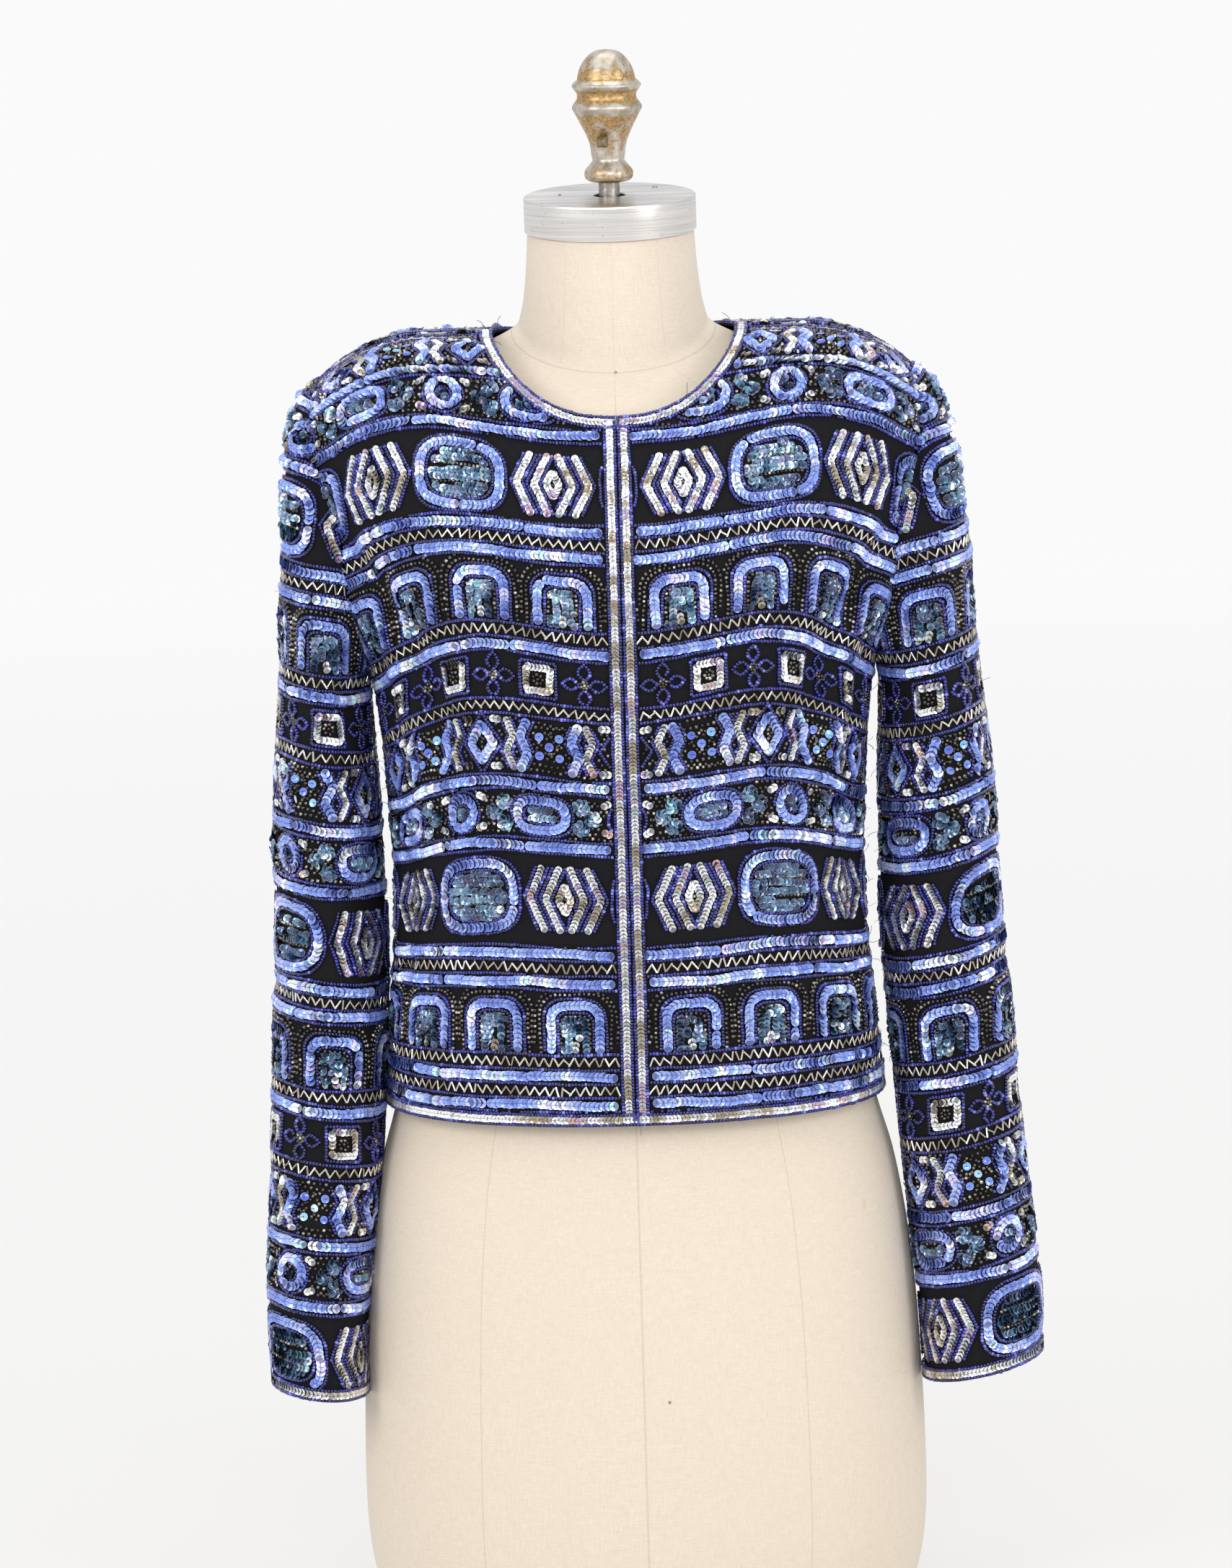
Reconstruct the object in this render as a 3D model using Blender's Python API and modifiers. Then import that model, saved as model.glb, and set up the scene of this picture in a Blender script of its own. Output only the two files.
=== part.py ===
"""A short, collarless evening jacket with long sleeves, worn by a limbless dress form.

Units are metres, +Z is up and -Y is the front. The origin is the middle of the flat foot that the
dress form stands on. The jacket is cut as two fronts, one back and two sleeves: each is a cloth wall
lofted through rings that are worked out from the garment's sizes. The dress form is a smooth
covered torso with a metal neck cap, a steel rod and a turned finial.
"""

import math

import bmesh
import bpy
import numpy as np

# Cloth
CLOTH_THICKNESS = 0.0016
SEAM_GAP = 0.0004
SHOULDER_GAP = 0.0005

# Garment landmarks, counted in rings of JACKET_RINGS from the hem (0) to the shoulder seam (10)
UNDERARM_RING = 4.2
SHOULDER_RING = 10.0
FRONT_NECK_RING = 7.6
BACK_NECK_RING = 8.9
NECK_HALF_WIDTH = 0.0755
NECK_ROUNDNESS = 2.5
FRONT_EDGE_GAP_AT_NECK = 0.0016
FRONT_OPENS_FROM_RING = 6.0
SIDE_SEAM_REACH = 0.15

BUST_ANGLE = 30.0
SIDE_ANGLE = 90.0
BLADE_ANGLE = 150.0
BACK_ANGLE = 180.0

JACKET_COLUMNS = (
    "z_front", "z_bust", "z_side", "z_back", "half_width", "front", "back", "square", "y_mid",
)
JACKET_RINGS = {
    "hem": (0.328, 0.328, 0.328, 0.327, 0.1575, 0.1150, 0.1190, 2.25, 0.000),
    "high_hip": (0.389, 0.390, 0.384, 0.387, 0.1520, 0.1140, 0.1140, 2.25, 0.000),
    "waist": (0.470, 0.473, 0.457, 0.468, 0.1470, 0.1155, 0.1050, 2.20, 0.000),
    "ribs": (0.545, 0.551, 0.521, 0.540, 0.1490, 0.1215, 0.1030, 2.20, 0.000),
    "bust": (0.625, 0.634, 0.594, 0.615, 0.1560, 0.1290, 0.1070, 2.20, 0.000),
    "underarm": (0.665, 0.675, 0.634, 0.655, 0.1720, 0.1260, 0.1090, 2.30, 0.000),
    "chest": (0.705, 0.715, 0.676, 0.700, 0.1880, 0.1140, 0.1110, 2.50, 0.002),
    "upper_chest": (0.745, 0.758, 0.720, 0.747, 0.1960, 0.0970, 0.1080, 2.60, 0.004),
    "collar": (0.779, 0.788, 0.746, 0.784, 0.2000, 0.0740, 0.0910, 2.60, 0.006),
    "shoulder": (0.803, 0.806, 0.757, 0.807, 0.2020, 0.0420, 0.0580, 2.60, 0.007),
    "shoulder_seam": (0.814, 0.812, 0.764, 0.8125, 0.2030, SHOULDER_GAP, SHOULDER_GAP, 2.60, 0.008),
}

# The armhole seam, as a share of the ring's half width
ARMHOLE_SHARE = {4.2: 1.0, 5.0: 0.965, 6.0: 0.934, 7.0: 0.944, 8.0: 0.940, 9.0: 0.926, 10.0: 0.906}

# Sleeve sections below the underarm. x_middle and the tilt are counted away from the body:
# tilt is how much higher the outer edge of a section is than its inner edge.
SLEEVE_COLUMNS = ("z", "x_middle", "y_middle", "half_width", "half_depth", "tilt")
LEFT_SLEEVE = {
    "biceps": (0.594, 0.1880, 0.002, 0.0275, 0.0590, 0.006),
    "above_elbow": (0.520, 0.1890, 0.002, 0.0325, 0.0560, 0.010),
    "elbow": (0.450, 0.1890, 0.002, 0.0345, 0.0530, 0.012),
    "below_elbow": (0.368, 0.1922, -0.003, 0.0352, 0.0500, 0.012),
    "forearm": (0.280, 0.1980, -0.014, 0.0340, 0.0465, 0.010),
    "low_forearm": (0.199, 0.2050, -0.024, 0.0310, 0.0440, 0.009),
    "cuff": (0.1480, 0.2052, -0.029, 0.0296, 0.0425, 0.009),
}
RIGHT_SLEEVE = {
    "biceps": (0.594, 0.1925, 0.002, 0.0305, 0.0580, 0.006),
    "above_elbow": (0.520, 0.1950, 0.002, 0.0355, 0.0540, 0.012),
    "elbow": (0.450, 0.1960, 0.002, 0.0375, 0.0510, 0.015),
    "below_elbow": (0.368, 0.2015, -0.003, 0.0380, 0.0480, 0.016),
    "forearm": (0.280, 0.2075, -0.012, 0.0375, 0.0445, 0.016),
    "low_forearm": (0.199, 0.2150, -0.020, 0.0380, 0.0420, 0.016),
    "cuff": (0.1500, 0.2160, -0.024, 0.0372, 0.0405, 0.016),
}
# The sleeve head: how its curve leaves the armhole seam and comes down to the biceps section,
# at the top of the armhole and at its front and back
SLEEVE_HEAD_REACH = 0.0280
SLEEVE_HEAD_DROP = 0.0100
SLEEVE_HEAD_LEAN = 0.0080
SLEEVE_HEAD_HANG = 0.1060
SLEEVE_FRONT_REACH = 0.0110
SLEEVE_FRONT_SWELL = 0.0060
SLEEVE_FRONT_HANG = 0.0550
UNDERARM_DIP = 0.0040
UNDERARM_SHARE = 0.62
SLEEVE_HEAD_RADIUS = 0.0500

# Soft troughs in the cloth: where each one starts and ends round the cloth and in height, how deep
# it is and how wide. Round the body, low and high are degrees from the centre front.
FOLD_COLUMNS = ("low", "z_low", "high", "z_high", "depth", "width")
BODY_FOLDS = {
    "armhole_drag": (47.0, 0.575, 64.0, 0.700, 0.0070, 0.018),
    "side_waist": (72.0, 0.410, 66.0, 0.540, 0.0045, 0.020),
    "front_hang": (26.0, 0.345, 30.0, 0.520, 0.0030, 0.020),
    "back_waist": (150.0, 0.400, 140.0, 0.560, 0.0050, 0.020),
    "back_armhole_drag": (128.0, 0.580, 112.0, 0.700, 0.0060, 0.018),
}

# Round a sleeve, low and high are shares of the way round
SLEEVE_FOLDS = {
    "armpit_drag": (0.33, 0.590, 0.20, 0.680, 0.0045, 0.020),
    "elbow_front": (0.22, 0.430, 0.42, 0.480, 0.0035, 0.018),
    "elbow_back": (0.80, 0.440, 0.58, 0.500, 0.0035, 0.018),
    "forearm_front": (0.30, 0.270, 0.12, 0.330, 0.0025, 0.018),
}

# A trough runs on past each end by this share of its length, and fades over this share
FOLD_END_FADE = 0.3
FOLD_FADE_LENGTH = 0.5
SMALLEST_REACH = 0.02

# Dress form
FORM_COLUMNS = ("z_front", "z_side", "z_back", "half_width", "front", "back", "square", "y_mid")
FORM_RINGS = {
    "foot": (0.000, 0.000, 0.000, 0.1620, 0.1040, 0.1120, 2.20, 0.000),
    "foot_turn": (0.016, 0.016, 0.016, 0.1730, 0.1120, 0.1200, 2.20, 0.000),
    "hip_low": (0.060, 0.060, 0.060, 0.1790, 0.1160, 0.1250, 2.20, 0.000),
    "hip": (0.140, 0.140, 0.140, 0.1780, 0.1150, 0.1240, 2.20, 0.000),
    "hip_high": (0.215, 0.215, 0.215, 0.1735, 0.1110, 0.1190, 2.20, 0.000),
    "belly": (0.280, 0.280, 0.280, 0.1640, 0.1050, 0.1110, 2.20, 0.000),
    "hem_line": (0.328, 0.328, 0.328, 0.1510, 0.0990, 0.1030, 2.20, 0.000),
    "waist": (0.440, 0.440, 0.440, 0.1230, 0.0880, 0.0780, 2.15, 0.000),
    "ribs": (0.530, 0.530, 0.530, 0.1310, 0.0990, 0.0820, 2.15, 0.000),
    "bust": (0.620, 0.605, 0.610, 0.1440, 0.1150, 0.0920, 2.20, 0.000),
    "chest": (0.690, 0.670, 0.685, 0.1520, 0.1010, 0.0960, 2.30, 0.000),
    "upper_chest": (0.735, 0.725, 0.745, 0.1560, 0.0840, 0.0900, 2.35, 0.003),
    "shoulder": (0.762, 0.762, 0.780, 0.1420, 0.0720, 0.0740, 2.30, 0.006),
    "neck_root": (0.776, 0.796, 0.802, 0.0960, 0.0630, 0.0590, 2.10, 0.008),
    "neck_seam": (0.790, 0.813, 0.818, 0.0640, 0.0580, 0.0490, 2.00, 0.008),
    "neck_low": (0.808, 0.824, 0.832, 0.0575, 0.0560, 0.0480, 2.00, 0.008),
    "neck": (0.838, 0.846, 0.852, 0.0540, 0.0530, 0.0520, 2.00, 0.006),
    "neck_top": (0.8704, 0.8742, 0.8780, 0.0520, 0.0520, 0.0520, 2.00, 0.006),
}

# Neck cap, rod, finial and its set bolt
CAP_RADIUS = 0.0538
CAP_THICKNESS = 0.0215
CAP_EDGE_ROUNDING = 0.0012
CAP_HOLE_RADIUS = 0.0100
CAP_TILT = math.radians(4.2)
CAP_BASE = (0.0, 0.006, 0.8746)
ROD_RADIUS = 0.0066
ROD_LENGTH = 0.0290
FINIAL_BASE_Z = 0.9040
TOUCH_GAP = 0.0003
FINIAL_PROFILE = (
    # radius, height above the finial's base, from the top down
    (0.0000, 0.0826), (0.0068, 0.0815), (0.0119, 0.0780), (0.0159, 0.0722), (0.0178, 0.0664),
    (0.0182, 0.0642), (0.0200, 0.0626), (0.0217, 0.0602), (0.0200, 0.0574), (0.0186, 0.0552),
    (0.0188, 0.0518), (0.0206, 0.0494), (0.0219, 0.0466), (0.0207, 0.0438), (0.0178, 0.0384),
    (0.0150, 0.0328), (0.0123, 0.0268), (0.0111, 0.0220), (0.0106, 0.0172), (0.0101, 0.0136),
    (0.0124, 0.0106), (0.0150, 0.0072), (0.0149, 0.0030), (0.0120, 0.0006), (0.0075, 0.0000),
    (0.0000, 0.0000),
)
BOLT_HEAD_WIDTH = 0.0070
BOLT_HEAD_HEIGHT = 0.0040
BOLT_ABOVE_FINIAL_BASE = 0.0262
BOLT_X = -0.0035
BOLT_SEAT_RADIUS = 0.0139
BOLT_BEVEL = 0.0007

# Hook and eye at the neck
HOOK_WIRE_RADIUS = 0.0004
HOOK_LENGTH = 0.0080
HOOK_HEIGHT = 0.0030
HOOK_SQUEEZE = 0.3
HOOK_RINGS_BELOW_NECK = (0.10, 0.35)

# Grid fineness
FRONT_COLUMNS = 12
BACK_HALF_COLUMNS = 10
SLEEVE_COLUMN_COUNT = 22
SLEEVE_HEAD_ROWS = 8
SLEEVE_TUBE_ROWS = 15
FORM_COLUMN_COUNT = 36
FORM_ROW_COUNT = 26
FORM_FOOT_RING = 0.35
CAP_STEPS = 40
FINIAL_STEPS = 24
ROD_SIDES = 24
HOOK_STEPS = 16
SHARP_ANGLE = math.radians(40)
ROWS_BELOW_UNDERARM = 10
CHEST_ROW_STEP = 0.56
# Rows lie close together where the armhole leaves the side seam and where the neckline turns up
ARMHOLE_TURN_RINGS = 0.8
ARMHOLE_TURN_ROWS = (0.0, 0.03, 0.11, 0.26, 0.5)
NECK_RISE_ROWS = (0.0, 0.012, 0.05, 0.12, 0.24, 0.42, 0.66, 1.0)
ARMHOLE_CHEST_POINTS = 30
ARMHOLE_TURN_POINTS = 20


def clear_scene():
    for obj in list(bpy.data.objects):
        bpy.data.objects.remove(obj, do_unlink=True)


def smoothstep(u):
    u = min(1.0, max(0.0, u))
    return u * u * (3.0 - 2.0 * u)


def along(stations, values, at):
    """A smooth curve through the values at their stations (cubic Hermite, slopes from neighbours)."""
    stations = list(stations)
    at = min(max(at, stations[0]), stations[-1])
    last = len(stations) - 1
    i = min(max(np.searchsorted(stations, at, side="right") - 1, 0), last - 1)

    def slope(k):
        a, b = max(k - 1, 0), min(k + 1, last)
        return (values[b] - values[a]) / (stations[b] - stations[a])

    span = stations[i + 1] - stations[i]
    u = (at - stations[i]) / span
    return (
        values[i] * (2 * u**3 - 3 * u**2 + 1)
        + slope(i) * span * (u**3 - 2 * u**2 + u)
        + values[i + 1] * (3 * u**2 - 2 * u**3)
        + slope(i + 1) * span * (u**3 - u**2)
    )


def row_of(table, columns, at):
    """The named sizes of a table at a place between its rows, counted from 0."""
    rows = list(table.values())
    stations = range(len(rows))
    return {
        name: along(stations, [row[k] for row in rows], at)
        for k, name in enumerate(columns)
    }


def superellipse(angle, half_width, front, back, square):
    """x and y at an angle from the front (0) round the side (90) to the back (180) degrees."""
    s, c = math.sin(math.radians(angle)), math.cos(math.radians(angle))
    power = 2.0 / square
    depth = front if c >= 0 else back
    return half_width * math.copysign(abs(s) ** power, s), -depth * math.copysign(abs(c) ** power, c)


def trough(place, z, fold, metres_per_unit):
    """How deep one trough is at a place round the cloth and a height."""
    size = dict(zip(FOLD_COLUMNS, fold))
    share = (z - size["z_low"]) / (size["z_high"] - size["z_low"])
    run = (size["high"] - size["low"]) * metres_per_unit
    slant = run / (size["z_high"] - size["z_low"])
    off = ((place - size["low"]) * metres_per_unit - run * share) / math.hypot(1.0, slant)
    fade = smoothstep((share + FOLD_END_FADE) / FOLD_FADE_LENGTH)
    fade *= smoothstep((1.0 + FOLD_END_FADE - share) / FOLD_FADE_LENGTH)
    return size["depth"] * math.exp(-((off / size["width"]) ** 2)) * fade


def body_fold(angle, z, half_width):
    metres_per_degree = math.radians(1.0) * half_width
    return sum(trough(angle, z, fold, metres_per_degree) for fold in BODY_FOLDS.values())


def sleeve_fold(turn, z, radius):
    return sum(trough(turn, z, fold, 2.0 * math.pi * radius) for fold in SLEEVE_FOLDS.values())


def jacket_point(ring, angle):
    """A point of the jacket's outer face, on the +X half."""
    size = row_of(JACKET_RINGS, JACKET_COLUMNS, ring)
    if angle <= BUST_ANGLE:
        z = size["z_front"] + (size["z_bust"] - size["z_front"]) * smoothstep(angle / BUST_ANGLE)
    elif angle <= SIDE_ANGLE:
        share = (angle - BUST_ANGLE) / (SIDE_ANGLE - BUST_ANGLE)
        z = size["z_bust"] + (size["z_side"] - size["z_bust"]) * smoothstep(share)
    else:
        share = (angle - SIDE_ANGLE) / (BLADE_ANGLE - SIDE_ANGLE)
        z = size["z_side"] + (size["z_back"] - size["z_side"]) * smoothstep(share)
    x, y = superellipse(angle, size["half_width"], size["front"], size["back"], size["square"])
    inward = body_fold(angle, z, size["half_width"])
    reach = math.hypot(x, y)
    shrink = 1.0 - inward / max(reach, SMALLEST_REACH)
    return np.array((x * shrink, y * shrink + size["y_mid"], z))


def angle_at_x(ring, x, behind=False):
    """The angle at which a ring passes a given x."""
    size = row_of(JACKET_RINGS, JACKET_COLUMNS, ring)
    share = min(1.0, max(0.0, x / size["half_width"]))
    angle = math.degrees(math.asin(share ** (size["square"] / 2.0)))
    return BACK_ANGLE - angle if behind else angle


def armhole_angle(ring, behind=False):
    share = along(ARMHOLE_SHARE.keys(), list(ARMHOLE_SHARE.values()), ring)
    half_width = row_of(JACKET_RINGS, JACKET_COLUMNS, ring)["half_width"]
    return angle_at_x(ring, share * half_width, behind)


def neck_x(ring, lowest_ring):
    """Half the width of the neck opening where a ring crosses it: a quarter of a rounded oval."""
    rise = min(1.0, max(0.0, (ring - lowest_ring) / (SHOULDER_RING - lowest_ring)))
    return NECK_HALF_WIDTH * (1.0 - (1.0 - rise) ** NECK_ROUNDNESS) ** (1.0 / NECK_ROUNDNESS)


def panel_rings(neck_ring):
    """The rings of a panel's rows, closer together where the armhole and the neck turn."""
    below = np.linspace(0.0, UNDERARM_RING, ROWS_BELOW_UNDERARM)[:-1]
    turn = UNDERARM_RING + np.array(ARMHOLE_TURN_ROWS)
    turned = UNDERARM_RING + ARMHOLE_TURN_RINGS
    chest = np.linspace(turned, neck_ring, math.ceil((neck_ring - turned) / CHEST_ROW_STEP) + 1)[:-1]
    rise = neck_ring + (SHOULDER_RING - neck_ring) * np.array(NECK_RISE_ROWS)
    return [*below, *turn, *chest, *rise]


def outer_angle(ring, behind):
    """Where a row of the front or back ends: at the side seam, or at the armhole above it."""
    half_gap = math.degrees(SEAM_GAP / 2.0 / SIDE_SEAM_REACH)
    seam = SIDE_ANGLE + half_gap if behind else SIDE_ANGLE - half_gap
    if ring <= UNDERARM_RING:
        return seam
    arm = armhole_angle(ring, behind)
    return max(arm, seam) if behind else min(arm, seam)


def mesh_object(name, points, faces, collection, material, smooth=True):
    mesh = bpy.data.meshes.new(name)
    mesh.from_pydata([tuple(p) for p in points], [], faces)
    mesh.validate()
    mesh.update()
    obj = bpy.data.objects.new(name, mesh)
    obj.data.materials.append(material)
    collection.objects.link(obj)
    if smooth:
        mesh.shade_smooth()
    return obj


def grid_faces(rows, columns, closed=False, flip=False):
    faces = []
    for i in range(rows - 1):
        for j in range(columns if closed else columns - 1):
            k = (j + 1) % columns
            face = (i * columns + j, i * columns + k, (i + 1) * columns + k, (i + 1) * columns + j)
            faces.append(face[::-1] if flip else face)
    return faces


def thicken(obj, thickness=CLOTH_THICKNESS):
    """Gives an open cloth surface its wall, on the inner side."""
    wall = obj.modifiers.new("wall", "SOLIDIFY")
    wall.thickness = thickness
    wall.offset = -1.0
    wall.use_even_offset = False


def front_panel(name, side, collection, material):
    """One front, from its edge at the middle to the side seam. side is 1 at +X and -1 at -X."""
    rings = panel_rings(FRONT_NECK_RING)
    points = []
    for ring in rings:
        widen = smoothstep((ring - FRONT_OPENS_FROM_RING) / (FRONT_NECK_RING - FRONT_OPENS_FROM_RING))
        edge = SEAM_GAP / 2.0 + FRONT_EDGE_GAP_AT_NECK * widen
        start = angle_at_x(ring, max(edge, neck_x(ring, FRONT_NECK_RING)))
        for angle in np.linspace(start, outer_angle(ring, False), FRONT_COLUMNS + 1):
            x, y, z = jacket_point(ring, angle)
            points.append((side * x, y, z))
    faces = grid_faces(len(rings), FRONT_COLUMNS + 1, flip=side < 0)
    obj = mesh_object(name, points, faces, collection, material)
    thicken(obj)
    return obj


def back_panel(name, collection, material):
    """The back: one half, open at the middle plane, mirrored into one piece."""
    rings = panel_rings(BACK_NECK_RING)
    points = []
    for ring in rings:
        start = angle_at_x(ring, neck_x(ring, BACK_NECK_RING), behind=True)
        for angle in np.linspace(start, outer_angle(ring, True), BACK_HALF_COLUMNS + 1):
            points.append(jacket_point(ring, angle))
    for point in points:
        point[0] = 0.0 if abs(point[0]) < 1e-6 else point[0]
    faces = grid_faces(len(rings), BACK_HALF_COLUMNS + 1, flip=True)
    obj = mesh_object(name, points, faces, collection, material)
    mirror = obj.modifiers.new("other_half", "MIRROR")
    mirror.use_axis = (True, False, False)
    mirror.merge_threshold = 0.0001
    thicken(obj)
    return obj


def armhole_curve(count):
    """The armhole seam on the +X side, from the shoulder down the front, under the arm, up the back."""
    halves = []
    for behind in (False, True):
        turned = UNDERARM_RING + ARMHOLE_TURN_RINGS
        close = np.linspace(1.0, 0.0, ARMHOLE_TURN_POINTS)[1:] ** 2
        rings = np.concatenate([
            np.linspace(SHOULDER_RING, turned, ARMHOLE_CHEST_POINTS),
            UNDERARM_RING + ARMHOLE_TURN_RINGS * close,
        ])
        line = np.array([jacket_point(r, outer_angle(r, behind)) for r in rings])
        length = np.concatenate([[0], np.cumsum(np.linalg.norm(np.diff(line, axis=0), axis=1))])
        halves.append((line, length / length[-1]))
    points = []
    for k in range(count):
        turn = k / count
        line, share = halves[0] if turn <= 0.5 else halves[1]
        at = 2.0 * turn if turn <= 0.5 else 2.0 - 2.0 * turn
        points.append([np.interp(at, share, line[:, axis]) for axis in range(3)])
    return np.array(points)


def sleeve_section(table, at, turn):
    """A point of a sleeve's tube. turn is a share of the way round: out, front, inner side, back."""
    size = row_of(table, SLEEVE_COLUMNS, at)
    a = 2.0 * math.pi * turn
    across, deep = size["half_width"], size["half_depth"]
    inward = sleeve_fold(turn, size["z"], 0.5 * (across + deep))
    out = math.cos(a)
    return np.array((
        size["x_middle"] + (across - inward) * out,
        size["y_middle"] - (deep - inward) * math.sin(a),
        size["z"] + 0.5 * size["tilt"] * out,
    ))


def sleeve_head(seam, table, turn, u):
    """A point between the armhole seam (u = 0) and the biceps section (u = 1) of a sleeve."""
    end = sleeve_section(table, 0.0, turn)
    top = 0.5 + 0.5 * math.cos(2.0 * math.pi * turn)
    facing = math.sin(2.0 * math.pi * turn)
    under = max(0.0, 1.0 - top / UNDERARM_SHARE)
    reach = SLEEVE_FRONT_REACH + (SLEEVE_HEAD_REACH - SLEEVE_FRONT_REACH) * top ** 2
    hang = SLEEVE_FRONT_HANG * (1.0 - (1.0 - top) ** 4)
    hang += (SLEEVE_HEAD_HANG - SLEEVE_FRONT_HANG) * top ** 2
    start = seam + np.array((SEAM_GAP, 0.0, 0.0))
    swell = SLEEVE_FRONT_SWELL * facing * (1.0 - under)
    drop = SLEEVE_HEAD_DROP * top ** 4 + UNDERARM_DIP * under
    leave = start + np.array((reach * (1.0 - under), -swell, -drop))
    arrive = end + np.array((-SLEEVE_HEAD_LEAN * top ** 2, 0.0, hang + UNDERARM_DIP * under))
    v = 1.0 - u
    point = v**3 * start + 3 * v * v * u * leave + 3 * v * u * u * arrive + u**3 * end
    inward = sleeve_fold(turn, point[2], SLEEVE_HEAD_RADIUS) * smoothstep(2.0 * u) * (1.0 - smoothstep(u))
    point[1] += inward * math.copysign(1.0, facing)
    return point


def sleeve(name, side, table, collection, material):
    """One sleeve: a head that leaves the armhole seam, and a tube down to the open cuff."""
    count = SLEEVE_COLUMN_COUNT
    seam = armhole_curve(count)
    points = []
    rows = 0
    for u in np.linspace(0.0, 1.0, SLEEVE_HEAD_ROWS + 1) ** 1.1:
        rows += 1
        points += [sleeve_head(seam[k], table, k / count, u) for k in range(count)]
    last = len(table) - 1
    for at in np.linspace(0.0, last, SLEEVE_TUBE_ROWS + 1)[1:]:
        rows += 1
        points += [sleeve_section(table, at, k / count) for k in range(count)]
    points = [(side * x, y, z) for x, y, z in points]
    faces = grid_faces(rows, count, closed=True, flip=side < 0)
    obj = mesh_object(name, points, faces, collection, material)
    thicken(obj)
    return obj


def form_torso(name, collection, material):
    """The covered body of the dress form, closed flat at its foot and under the neck cap."""
    points = []
    last = len(FORM_RINGS) - 1
    rings = sorted({*np.linspace(0.0, last, FORM_ROW_COUNT).tolist(), FORM_FOOT_RING})
    for ring in rings:
        size = row_of(FORM_RINGS, FORM_COLUMNS, ring)
        for k in range(FORM_COLUMN_COUNT):
            angle = 360.0 * k / FORM_COLUMN_COUNT
            x, y = superellipse(angle, size["half_width"], size["front"], size["back"], size["square"])
            facing = math.cos(math.radians(angle))
            end = size["z_front"] if facing > 0 else size["z_back"]
            z = size["z_side"] + (end - size["z_side"]) * abs(facing)
            points.append((x, y + size["y_mid"], z))
    count = FORM_COLUMN_COUNT
    faces = grid_faces(len(rings), count, closed=True)
    faces.append(tuple(reversed(range(count))))
    faces.append(tuple(range((len(rings) - 1) * count, len(rings) * count)))
    return mesh_object(name, points, faces, collection, material)


def turned(name, profile, steps, collection, material, hollow=False):
    """A turned piece: a profile in XZ from the top down, spun about Z. A hollow one is a closed loop."""
    count = len(profile)
    edges = [(i, (i + 1) % count) for i in range(count if hollow else count - 1)]
    mesh = bpy.data.meshes.new(name)
    mesh.from_pydata([(r, 0.0, z) for r, z in profile], edges, [])
    obj = bpy.data.objects.new(name, mesh)
    obj.data.materials.append(material)
    collection.objects.link(obj)
    screw = obj.modifiers.new("turn", "SCREW")
    screw.steps = screw.render_steps = steps
    screw.use_merge_vertices = True
    screw.merge_threshold = 0.00005
    screw.use_smooth_shade = True
    return obj


def neck_cap(name, collection, material):
    """The metal lid on the neck, tilted a little to the front, with the hole that the rod enters."""
    lip = CAP_EDGE_ROUNDING
    profile = (
        (CAP_HOLE_RADIUS, CAP_THICKNESS),
        (CAP_RADIUS - lip, CAP_THICKNESS),
        (CAP_RADIUS - 0.3 * lip, CAP_THICKNESS - 0.3 * lip),
        (CAP_RADIUS, CAP_THICKNESS - lip),
        (CAP_RADIUS, 0.0),
        (CAP_HOLE_RADIUS, 0.0),
    )
    obj = turned(name, profile, CAP_STEPS, collection, material, hollow=True)
    obj.location = CAP_BASE
    obj.rotation_euler = (CAP_TILT, 0.0, 0.0)
    return obj


def rod(name, collection, material):
    """The steel rod that carries the finial. Its foot stands on the neck, inside the cap's hole."""
    bpy.ops.mesh.primitive_cylinder_add(vertices=ROD_SIDES, radius=ROD_RADIUS, depth=ROD_LENGTH)
    obj = bpy.context.object
    obj.name = name
    obj.data.name = name
    top = FINIAL_BASE_Z - TOUCH_GAP
    obj.location = (0.0, CAP_BASE[1], top - ROD_LENGTH / 2.0)
    obj.data.materials.append(material)
    for other in list(obj.users_collection):
        other.objects.unlink(obj)
    collection.objects.link(obj)
    obj.data.shade_smooth()
    obj.data.set_sharp_from_angle(angle=SHARP_ANGLE)
    return obj


def set_bolt(name, collection, material):
    """The square head of the bolt that holds the finial on its rod."""
    mesh = bpy.data.meshes.new(name)
    box = bmesh.new()
    bmesh.ops.create_cube(box, size=1.0)
    bmesh.ops.scale(box, vec=(BOLT_HEAD_WIDTH, BOLT_HEAD_HEIGHT, BOLT_HEAD_WIDTH), verts=box.verts)
    box.to_mesh(mesh)
    box.free()
    obj = bpy.data.objects.new(name, mesh)
    obj.data.materials.append(material)
    collection.objects.link(obj)
    bevel = obj.modifiers.new("worn_edges", "BEVEL")
    bevel.width = BOLT_BEVEL
    bevel.segments = 1
    seat = BOLT_SEAT_RADIUS + TOUCH_GAP + BOLT_HEAD_HEIGHT / 2.0
    obj.location = (BOLT_X, CAP_BASE[1] - seat, FINIAL_BASE_Z + BOLT_ABOVE_FINIAL_BASE)
    return obj


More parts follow.
